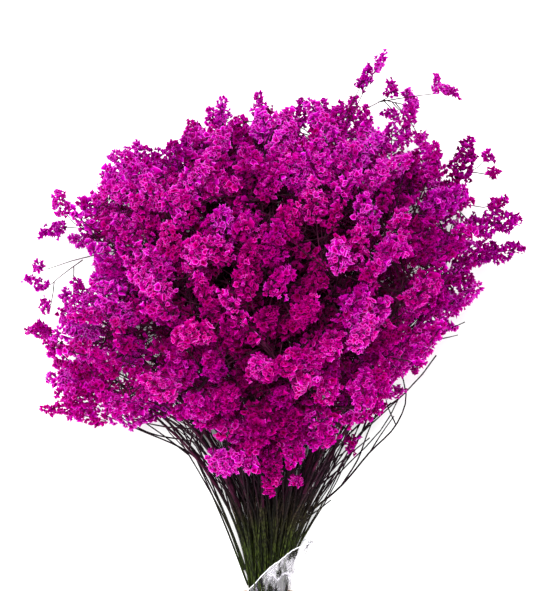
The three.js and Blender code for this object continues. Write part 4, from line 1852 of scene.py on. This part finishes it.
@dataclass
class CutStems:
    """The bare stems: each from its cut end, through the film and the band, to its spray."""

    seed: int = 7
    radii: Pair = (1.15, 0.8)
    # How far a stem swings, and how fast it does so sideways and up.
    wobble: float = 0.35
    swings: Pair = (9, 7)
    cut_slant: float = 0.6
    companions: int = 6
    companion_radii: Pair = (0.7, 0.45)
    stoutness: Pair = (0.7, 1.2)
    # How far from its stem a companion lies, between which heights, and how near the side of the bunch.
    beside: float = 1.8
    heights: Pair = (2, 20)
    half_width: float = 11
    # How it drifts away: sideways (its mean and spread, and the most), and up.
    drift: Pair = (0.05, 0.13)
    drift_most: float = 0.2
    drift_up: float = 0.1
    # Stems that turn further left than this, in degrees, have no companion outside them.
    sharp_turn: float = 40
    # Where it ends, as a share of its stem's tail and in millimetres before the band.
    tails: Pair = (0.9, 1)
    reaches: Pair = (130, 200)
    parting: float = 1.5
    parting_power: float = 1.1
    # How far it swings once it has parted, sideways and up, and how fast.
    companion_wobbles: Pair = (11, 9)
    companion_swings: Pair = (14, 11)
    companion_height: float = 0.8
    shoots: int = 7
    shoot_starts: Pair = (0.25, 1)
    shoot_lengths: Pair = (60, 120)
    shoot_radii: Pair = (0.6, 0.35)
    shoot_sways: Pair = (0.1, 0.24)
    shoot_power: float = 1.4
    shoot_height: float = 1
    shoot_depth: float = 0.85
    shoot_tint: float = 0.7
    bare_tint: float = 0.3

    def build(self, bunch: Bunch) -> list[bpy.types.Object]:
        """Builds every stem.

        Args:
            bunch: The grown bunch.

        Returns:
            The pieces, one for each stem.
        """
        self.rng = np.random.default_rng(self.seed)
        self.rod = Stamp("stem_rod", Rod(8, 30).build)
        self.thin_rod = Stamp("thin_rod", Rod(6, 18).build)
        self.shoot = Stamp("shoot_rod", Rod(5, 8).build)
        stems = [self.stem(number, stem) for number, stem in enumerate(bunch.stems, 1)]
        for stamp in (self.rod, self.thin_rod, self.shoot):
            stamp.drop()
        return stems

    def stem(self, number: int, stem: Stem) -> bpy.types.Object:
        """Builds one stem with its thin companions, its bare shoots and its bare twigs.

        Args:
            number: The stem's number, from 1.
            stem: The stem.

        Returns:
            The piece.
        """
        bm = bmesh.new()
        phase = self.rng.uniform(0, 2 * math.pi, 2)
        reach = stem.tail + stem.fork + STEM.gap

        def path(share: Vec) -> Vec:
            """The stem's own way, with a swing that dies out at both its ends.

            Args:
                share: Shares of its length.

            Returns:
                The places.
            """
            places = stem.stretch(-stem.tail, reach, share)
            swing = self.wobble * np.sin(math.pi * share)
            places[:, 0] += swing * np.sin(self.swings[0] * share + phase[0])
            places[:, 2] += swing * np.sin(self.swings[1] * share + phase[1])
            return places

        points = Rod.bent(self.rod.points, path, self.radii)
        # The shears cut at a slant.
        ends = self.rod.points[:, 2] < 1e-6
        slant = self.cut_slant * self.rng.uniform(-1, 1)
        points[ends, 1] += slant * self.rod.points[ends, 0] * self.radii[0]
        self.rod.copy_into(bm, points, tint=self.rng.uniform())
        for _ in range(self.companions):
            self.add_companion(bm, stem)
        # The caps that face back are the cut ends.
        for face in bm.faces:
            face.normal_update()
            if len(face.verts) > 4 and face.normal.y < -0.5:
                face.material_index = 1
        for _ in range(self.shoots):
            self.add_shoot(bm, stem)
        for twig in BARE_TWIGS:
            if twig.stem == number:
                self.add_bare_twig(bm, twig.radii, self.corners_of(stem, twig))
        name = f"cut_stem_{number:02d}"
        finishes = (DriedStem(origin_y=to_frame().translation.y), CutPith())
        return add_piece(name, bm, finishes, [f"stem_{number:02d}"])

    def add_companion(self, bm: bmesh.types.BMesh, stem: Stem) -> None:
        """Adds a thin stem that lies in the hollow beside a stem and parts from it in the fan.

        Args:
            bm: The stem's mesh.
            stem: The stem that it lies beside.
        """
        rng = self.rng
        beside = np.array([rng.choice([-1.0, 1.0]), 0, rng.choice([-1.0, 1.0])]) * self.beside
        lowest, highest = self.heights
        if not lowest <= stem.foot[2] + beside[2] <= highest:
            beside[2] *= -1
        if abs(stem.foot[0] + beside[0]) > abs(stem.foot[0]) > self.half_width:
            beside[0] *= -1
        sideways = min(rng.normal(*self.drift), self.drift_most)
        drift = np.array([sideways, 0, rng.normal(0, self.drift_up)])
        # The left side of the fan ends sharply, while the right one frays.
        if drift[0] < 0 and stem.turn < 0:
            drift[0] *= max(0.0, 1 + stem.turn / self.sharp_turn)
        phase = rng.uniform(0, 2 * math.pi, 2)
        back = stem.tail * rng.uniform(*self.tails)
        ahead = rng.uniform(*self.reaches)

        def path(share: Vec) -> Vec:
            """The way beside the stem as far as the band, and then away from it.

            Args:
                share: Shares of the companion's length.

            Returns:
                The places.
            """
            along = stem.stretch(-back, back + ahead, share)
            parted = np.maximum(0, share - back / (back + ahead))
            away = ahead * self.parting * parted**self.parting_power
            places = along + beside + np.outer(away, drift)
            for axis, wobble, swing, start in zip(
                (0, 2), self.companion_wobbles, self.companion_swings, phase
            ):
                places[:, axis] += wobble * parted * np.sin(swing * share + start)
            places[:, 2] = np.maximum(places[:, 2], self.companion_height)
            return places

        stout = rng.uniform(*self.stoutness)
        points = Rod.bent(self.thin_rod.points, path, self.companion_radii, stout)
        self.thin_rod.copy_into(bm, points, tint=rng.uniform())

    def add_shoot(self, bm: bmesh.types.BMesh, stem: Stem) -> None:
        """Adds a bare side shoot that leaves the stem before its fork and runs up into the mass.

        Args:
            bm: The stem's mesh.
            stem: The stem.
        """
        rng = self.rng
        start = rng.uniform(*self.shoot_starts) * stem.fork
        length = rng.uniform(*self.shoot_lengths)
        drift = rng.normal(0, 1, 3)
        sway = rng.uniform(*self.shoot_sways)

        def path(share: Vec) -> Vec:
            """The shoot's way, which bends off its stem's own.

            Args:
                share: Shares of the shoot's length.

            Returns:
                The places.
            """
            along = stem.stretch(start, length, share)
            places = along + np.outer(sway * length * share**self.shoot_power, drift)
            places[:, 2] = np.maximum(places[:, 2], self.shoot_height)
            return places

        if depth_of(path(np.array([1.0]))[0]) > self.shoot_depth:
            return
        points = Rod.bent(self.shoot.points, path, self.shoot_radii)
        self.shoot.copy_into(bm, points, tint=rng.uniform(0, self.shoot_tint))

    @staticmethod
    def corners_of(stem: Stem, twig: BareTwig) -> Vec:
        """The corners of a bare twig's way.

        Args:
            stem: The stem that carries it.
            twig: The twig.

        Returns:
            The points in the bunch's own millimetres.
        """
        heights = np.linspace(*twig.heights, len(twig.route_px))
        corners = [VIEW.place(pixel, height) for pixel, height in zip(twig.route_px, heights)]
        if twig.leaves_at is not None:
            corners.insert(0, stem.at(twig.leaves_at))
        return np.array(corners)

    def add_bare_twig(self, bm: bmesh.types.BMesh, radii: Pair, corners: Vec) -> None:
        """Adds a twig without flowers, on a smooth curve through its corners.

        Args:
            bm: The stem's mesh.
            radii: Its radius at its two ends.
            corners: Its corners.
        """
        steps = np.concatenate([[0], np.cumsum(np.linalg.norm(np.diff(corners, axis=0), axis=1))])
        steps /= steps[-1]
        slopes = np.gradient(corners, steps, axis=0)

        def path(share: Vec) -> Vec:
            """A cubic curve between each two corners, with the same slope on both sides of a corner.

            Args:
                share: Shares of the twig's length.

            Returns:
                The places.
            """
            k = np.clip(np.searchsorted(steps, share, side="right") - 1, 0, len(steps) - 2)
            width = (steps[k + 1] - steps[k])[:, None]
            t = (share - steps[k])[:, None] / width
            start = (1 + 2 * t) * (1 - t) ** 2 * corners[k] + t * (1 - t) ** 2 * width * slopes[k]
            return start + t**2 * (3 - 2 * t) * corners[k + 1] + t**2 * (t - 1) * width * slopes[k + 1]

        points = Rod.bent(self.thin_rod.points, path, radii)
        self.thin_rod.copy_into(bm, points, tint=self.bare_tint)


@dataclass(frozen=True)
class Oval:
    """A section across the bunch that clears its stems: an oval in a plane of constant y."""

    x: float
    z: float
    wide: float
    tall: float

    @staticmethod
    def around(stems: Sequence[Stem], y: float, slack: float) -> "Oval":
        """The oval that clears every stem where they cross a plane.

        Args:
            stems: The stems.
            y: The plane's place along the bunch.
            slack: How far it stays from the stems.

        Returns:
            The oval.
        """
        distances = [y / max(0.2, stem.at(1)[1]) if y > 0 else y for stem in stems]
        places = np.array([stem.at(distance) for stem, distance in zip(stems, distances)])
        low, high = places.min(axis=0), places.max(axis=0)
        x, z = (low[0] + high[0]) / 2, (low[2] + high[2]) / 2
        wide, tall = (high[0] - low[0]) / 2, (high[2] - low[2]) / 2
        scale = max(math.hypot((p[0] - x) / wide, (p[2] - z) / tall) for p in places)
        return Oval(x, z, wide * scale + STEM.radius + slack, tall * scale + STEM.radius + slack)

    def point(self, turn: float, extra: float, y: float, floor: float) -> Vector:
        """A point of the oval, no lower than the floor.

        Args:
            turn: The angle from +X down and round.
            extra: How far outside the oval it is.
            y: Its place along the bunch.
            floor: Its least height.

        Returns:
            The point.
        """
        x = self.x + (self.wide + extra) * math.cos(turn)
        z = self.z - (self.tall + extra) * math.sin(turn)
        return Vector((x, y, max(z, floor)))


@dataclass
class FilmSleeve:
    """The clear film round the stems: loose behind the band, gathered under it and flared before it."""

    back: float = -84
    front: float = 20
    slant: float = 22
    slack: float = 0.7
    loose: float = 0.06
    thick: float = 0.12
    sides: int = 96
    rings: int = 44
    pleats: int = 11
    pleat_depth: float = 1.3
    # How deep the pleats are where the film isn't flared, and over what length the band gathers them.
    pleat_share: float = 0.25
    gathered: float = 7
    # Behind this distance from the band the film is loose.
    loose_from: float = 5
    # The lengths along the bunch over which the pleats wander, and how far, in radians.
    wander_lengths: Pair = (17, 6.1)
    wanders: Pair = (0.5, 0.3)
    # The lengths and the turns over which the creases come again, and how deep they are against a pleat.
    crease_lengths: Pair = (3.7, 5.3)
    crease_turns: Pair = (23, 7)
    crease_share: float = 0.5
    # How far the film's long corner stands off the stems.
    corner: float = 6
    corner_fold: float = 0.4
    lowest: float = 0.15
    bead: float = 0.32
    bead_sides: int = 6
    bead_height: float = 0.1

    def build(self, bunch: Bunch) -> bpy.types.Object:
        """Builds the sleeve from a ring that is drawn out along the bunch.

        Args:
            bunch: The grown bunch.

        Returns:
            The piece.
        """
        bm = bmesh.new()
        bmesh.ops.create_circle(bm, segments=self.sides, radius=1)
        ring = bm.verts[:]
        self.place(ring, bunch, 0)
        edges = bm.edges[:]
        for step in range(1, self.rings + 1):
            ring, edges = draw_out(bm, edges)
            self.place(ring, bunch, step / self.rings)
        rim = [vertex.co.copy() for vertex in ring]
        bmesh.ops.recalc_face_normals(bm, faces=bm.faces[:])
        bmesh.ops.solidify(bm, geom=bm.faces[:], thickness=self.thick)
        self.add_bead(bm, rim)
        for face in bm.faces:
            face.smooth = True
        return add_piece("clear_film", bm, (WrapFilm(), FilmEdge()), ["film_sleeve"])

    def add_bead(self, bm: bmesh.types.BMesh, rim: Sequence[Vector]) -> None:
        """Adds the melted bead round the front edge.

        Args:
            bm: The film's mesh.
            rim: The points of the edge, in order round it.
        """
        bead = bmesh.new()
        bmesh.ops.create_circle(bead, segments=self.bead_sides, radius=self.bead)
        section = [vertex.co.copy() for vertex in bead.verts]
        ring = bead.verts[:]
        edges = bead.edges[:]
        for number in range(len(rim)):
            if number:
                ring, edges = draw_out(bead, edges)
            ahead = (rim[(number + 1) % len(rim)] - rim[number - 1]).normalized()
            side = ahead.cross(Vector((0, 1, 0))).normalized()
            over = ahead.cross(side)
            for vertex, flat in zip(ring, section):
                vertex.co = rim[number] + side * flat.x + over * flat.y
                vertex.co.z = max(vertex.co.z, self.bead_height)
        bmesh.ops.bridge_loops(bead, edges=[edge for edge in bead.edges if edge.is_boundary])
        bmesh.ops.recalc_face_normals(bead, faces=bead.faces[:])
        for face in bead.faces:
            face.material_index = 1
        mesh = bpy.data.meshes.new("bead")
        bead.to_mesh(mesh)
        bead.free()
        bm.from_mesh(mesh)
        bpy.data.meshes.remove(mesh)

    def place(self, ring: Sequence[bmesh.types.BMVert], bunch: Bunch, share: float) -> None:
        """Moves one ring to its place along the sleeve.

        Args:
            ring: The ring's vertices, in order round it.
            bunch: The grown bunch.
            share: How far along the sleeve it is, from 0 at the back.
        """
        level = self.back + (self.front - self.back) * share
        flare = max(0.0, level / self.front)
        gather = math.exp(-((level / self.gathered) ** 2))
        for number, vertex in enumerate(ring):
            turn = 2 * math.pi * number / len(ring)
            y = level + flare * self.slant * math.cos(turn)
            fold = self.fold(turn, y)
            pleat = fold * self.pleat_depth * (self.pleat_share + flare) * (1 - gather)
            loose = self.loose * max(0.0, -level - self.loose_from) + pleat
            folded = 1 - self.corner_fold + self.corner_fold * fold
            loose += self.corner * flare**2 * max(0.0, math.cos(turn)) * folded
            oval = Oval.around(bunch.stems, y, self.slack)
            vertex.co = oval.point(turn, loose, y, self.lowest)

    def fold(self, turn: float, y: float) -> float:
        """How far the film stands off at a place: long pleats, bent by finer creases.

        Args:
            turn: The angle round the bunch.
            y: The place along it.

        Returns:
            The share of a pleat's depth, from 0 to about 1.5.
        """
        slow, fast = self.wander_lengths
        drift = self.wanders[0] * math.sin(y / slow) + self.wanders[1] * math.sin(y / fast + 2 * turn)
        pleat = 1 - abs(math.sin(self.pleats * turn / 2 + drift))
        fine, wide = self.crease_lengths
        many, few = self.crease_turns
        crease = abs(math.sin(many * turn + y / fine) * math.sin(few * turn - y / wide))
        return pleat + self.crease_share * crease


@dataclass
class RubberBand:
    """The rubber band, wound three times round the film, so that its turns cross one another."""

    turns: int = 3
    steps: int = 216
    width: float = 1.7
    thick: float = 0.85
    sway: float = 1.5
    seat: float = 1.3
    # How far its turns climb over one another, as a share of its thickness.
    climb: float = 0.6
    edge: float = 0.18
    # The angle between two faces, in radians, from which the edge between them is rounded.
    sharp: float = 0.9
    lowest: float = 0.05

    def build(self, bunch: Bunch) -> bpy.types.Object:
        """Builds the band from a small bar section that is drawn round the bunch.

        Args:
            bunch: The grown bunch.

        Returns:
            The piece.
        """
        oval = Oval.around(bunch.stems, 0, STEM.gap)
        bm = bmesh.new()
        bmesh.ops.create_grid(bm, x_segments=1, y_segments=1, size=0.5)
        section = [vertex.co.copy() for vertex in bm.verts]
        edges = bm.edges[:]
        bmesh.ops.delete(bm, geom=bm.faces[:], context="FACES_ONLY")
        first = bm.verts[:]
        self.place(first, section, oval, 0)
        for step in range(1, self.steps):
            ring, edges = draw_out(bm, edges)
            self.place(ring, section, oval, step / self.steps)
        open_edges = [edge for edge in bm.edges if edge.is_boundary]
        bmesh.ops.bridge_loops(bm, edges=open_edges)
        bmesh.ops.recalc_face_normals(bm, faces=bm.faces[:])
        along = [edge for edge in bm.edges if edge.calc_face_angle(0) > self.sharp]
        bmesh.ops.bevel(
            bm, geom=along, offset=self.edge, segments=2, profile=0.5, affect="EDGES", material=-1
        )
        for face in bm.faces:
            face.smooth = True
        return add_piece("rubber_band", bm, (TanRubber(),), ["band"])

    def place(
        self, ring: Sequence[bmesh.types.BMVert], section: Sequence[Vector], oval: Oval, share: float
    ) -> None:
        """Moves one section of the band to its place.

        Args:
            ring: The section's vertices.
            section: Where they are on the flat section.
            oval: The oval that the band is wound on.
            share: How far along its whole length it is.
        """
        round_once = 2 * math.pi * share
        turn = self.turns * round_once
        y = self.sway * math.sin(round_once)
        extra = self.seat + self.thick * (self.climb + self.climb * math.cos(round_once))
        for vertex, flat in zip(ring, section):
            outer = extra + flat.x * self.thick
            vertex.co = oval.point(turn, outer, y + flat.y * self.width, self.lowest)


@dataclass(frozen=True)
class Softbox:
    """A square softbox, with its place and its sides in metres and its power in watts."""

    name: str
    place: tuple[float, float, float]
    size: float
    watts: float


@dataclass
class Studio:
    """The pale floor, the soft lights and the camera, which looks straight down on the bunch."""

    sensor: float = 24
    floor_size: float = 8
    softboxes: tuple[Softbox, ...] = (
        Softbox(name="key_softbox", place=(-0.2, 0.45, 1.6), size=0.6, watts=46),
        Softbox(name="fill_softbox", place=(0.2, -1.3, 0.75), size=1.3, watts=30),
    )
    # The place in the bunch that they face, and how bright the walls of the studio are.
    aim: tuple[float, float, float] = (0, 0.08, 0.08)
    walls: float = 0.9

    def build(self) -> None:
        """Builds the floor, the lights and the camera."""
        self.lay_floor()
        for softbox in self.softboxes:
            self.hang(softbox)
        world = bpy.data.worlds.new("studio")
        world.use_nodes = True
        sky = world.node_tree.nodes["Background"]
        sky.inputs["Color"].default_value = (1, 1, 1, 1)
        sky.inputs["Strength"].default_value = self.walls
        bpy.context.scene.world = world
        bpy.context.scene.view_settings.view_transform = "Standard"
        self.set_camera()

    def lay_floor(self) -> None:
        """Lays the floor at the height of the table."""
        bm = bmesh.new()
        bmesh.ops.create_grid(bm, x_segments=1, y_segments=1, size=self.floor_size / 2)
        mesh = bpy.data.meshes.new("studio_floor")
        bm.to_mesh(mesh)
        bm.free()
        mesh.materials.append(StudioPaper().material())
        floor = bpy.data.objects.new("studio_floor", mesh)
        bpy.context.scene.collection.objects.link(floor)

    def hang(self, softbox: Softbox) -> None:
        """Hangs a softbox so that it faces the bunch.

        Args:
            softbox: The softbox.
        """
        light = bpy.data.lights.new(softbox.name, "AREA")
        light.size = softbox.size
        light.energy = softbox.watts
        lamp = bpy.data.objects.new(softbox.name, light)
        lamp.location = softbox.place
        aim = Vector(self.aim) - Vector(softbox.place)
        lamp.rotation_euler = aim.to_track_quat("-Z", "Y").to_euler()
        bpy.context.scene.collection.objects.link(lamp)

    def set_camera(self) -> None:
        """Hangs the camera over the bunch, with the flowers towards the top of the picture."""
        camera = bpy.data.cameras.new("camera")
        camera.sensor_fit = "VERTICAL"
        camera.sensor_height = self.sensor
        camera.lens = self.sensor * VIEW.distance / (VIEW.height_px * VIEW.mm_per_px)
        eye = bpy.data.objects.new("camera", camera)
        eye.location = to_frame() @ Vector(VIEW.middle())
        eye.location.z += VIEW.distance * MM
        bpy.context.scene.collection.objects.link(eye)
        bpy.context.scene.camera = eye


def main() -> None:
    """Builds the studio and the bunch, and reports each piece."""
    logging.basicConfig(level=logging.INFO, format="%(message)s")
    Studio().build()
    bunch = Bunch()
    bunch.grow()
    log.info("grown: %d stems, %d plumes", len(bunch.stems), sum(len(s.plumes) for s in bunch.stems))
    pieces = [*CutStems().build(bunch), *DyedSprays().build(bunch)]
    pieces += [FilmSleeve().build(bunch), RubberBand().build(bunch)]
    total = 0
    for piece in pieces:
        piece.data.calc_loop_triangles()
        total += len(piece.data.loop_triangles)
        log.info("%s: %d triangles", piece.name, len(piece.data.loop_triangles))
    log.info("all: %d plumes, %d triangles", sum(len(s.plumes) for s in bunch.stems), total)


if __name__ == "__main__":
    main()
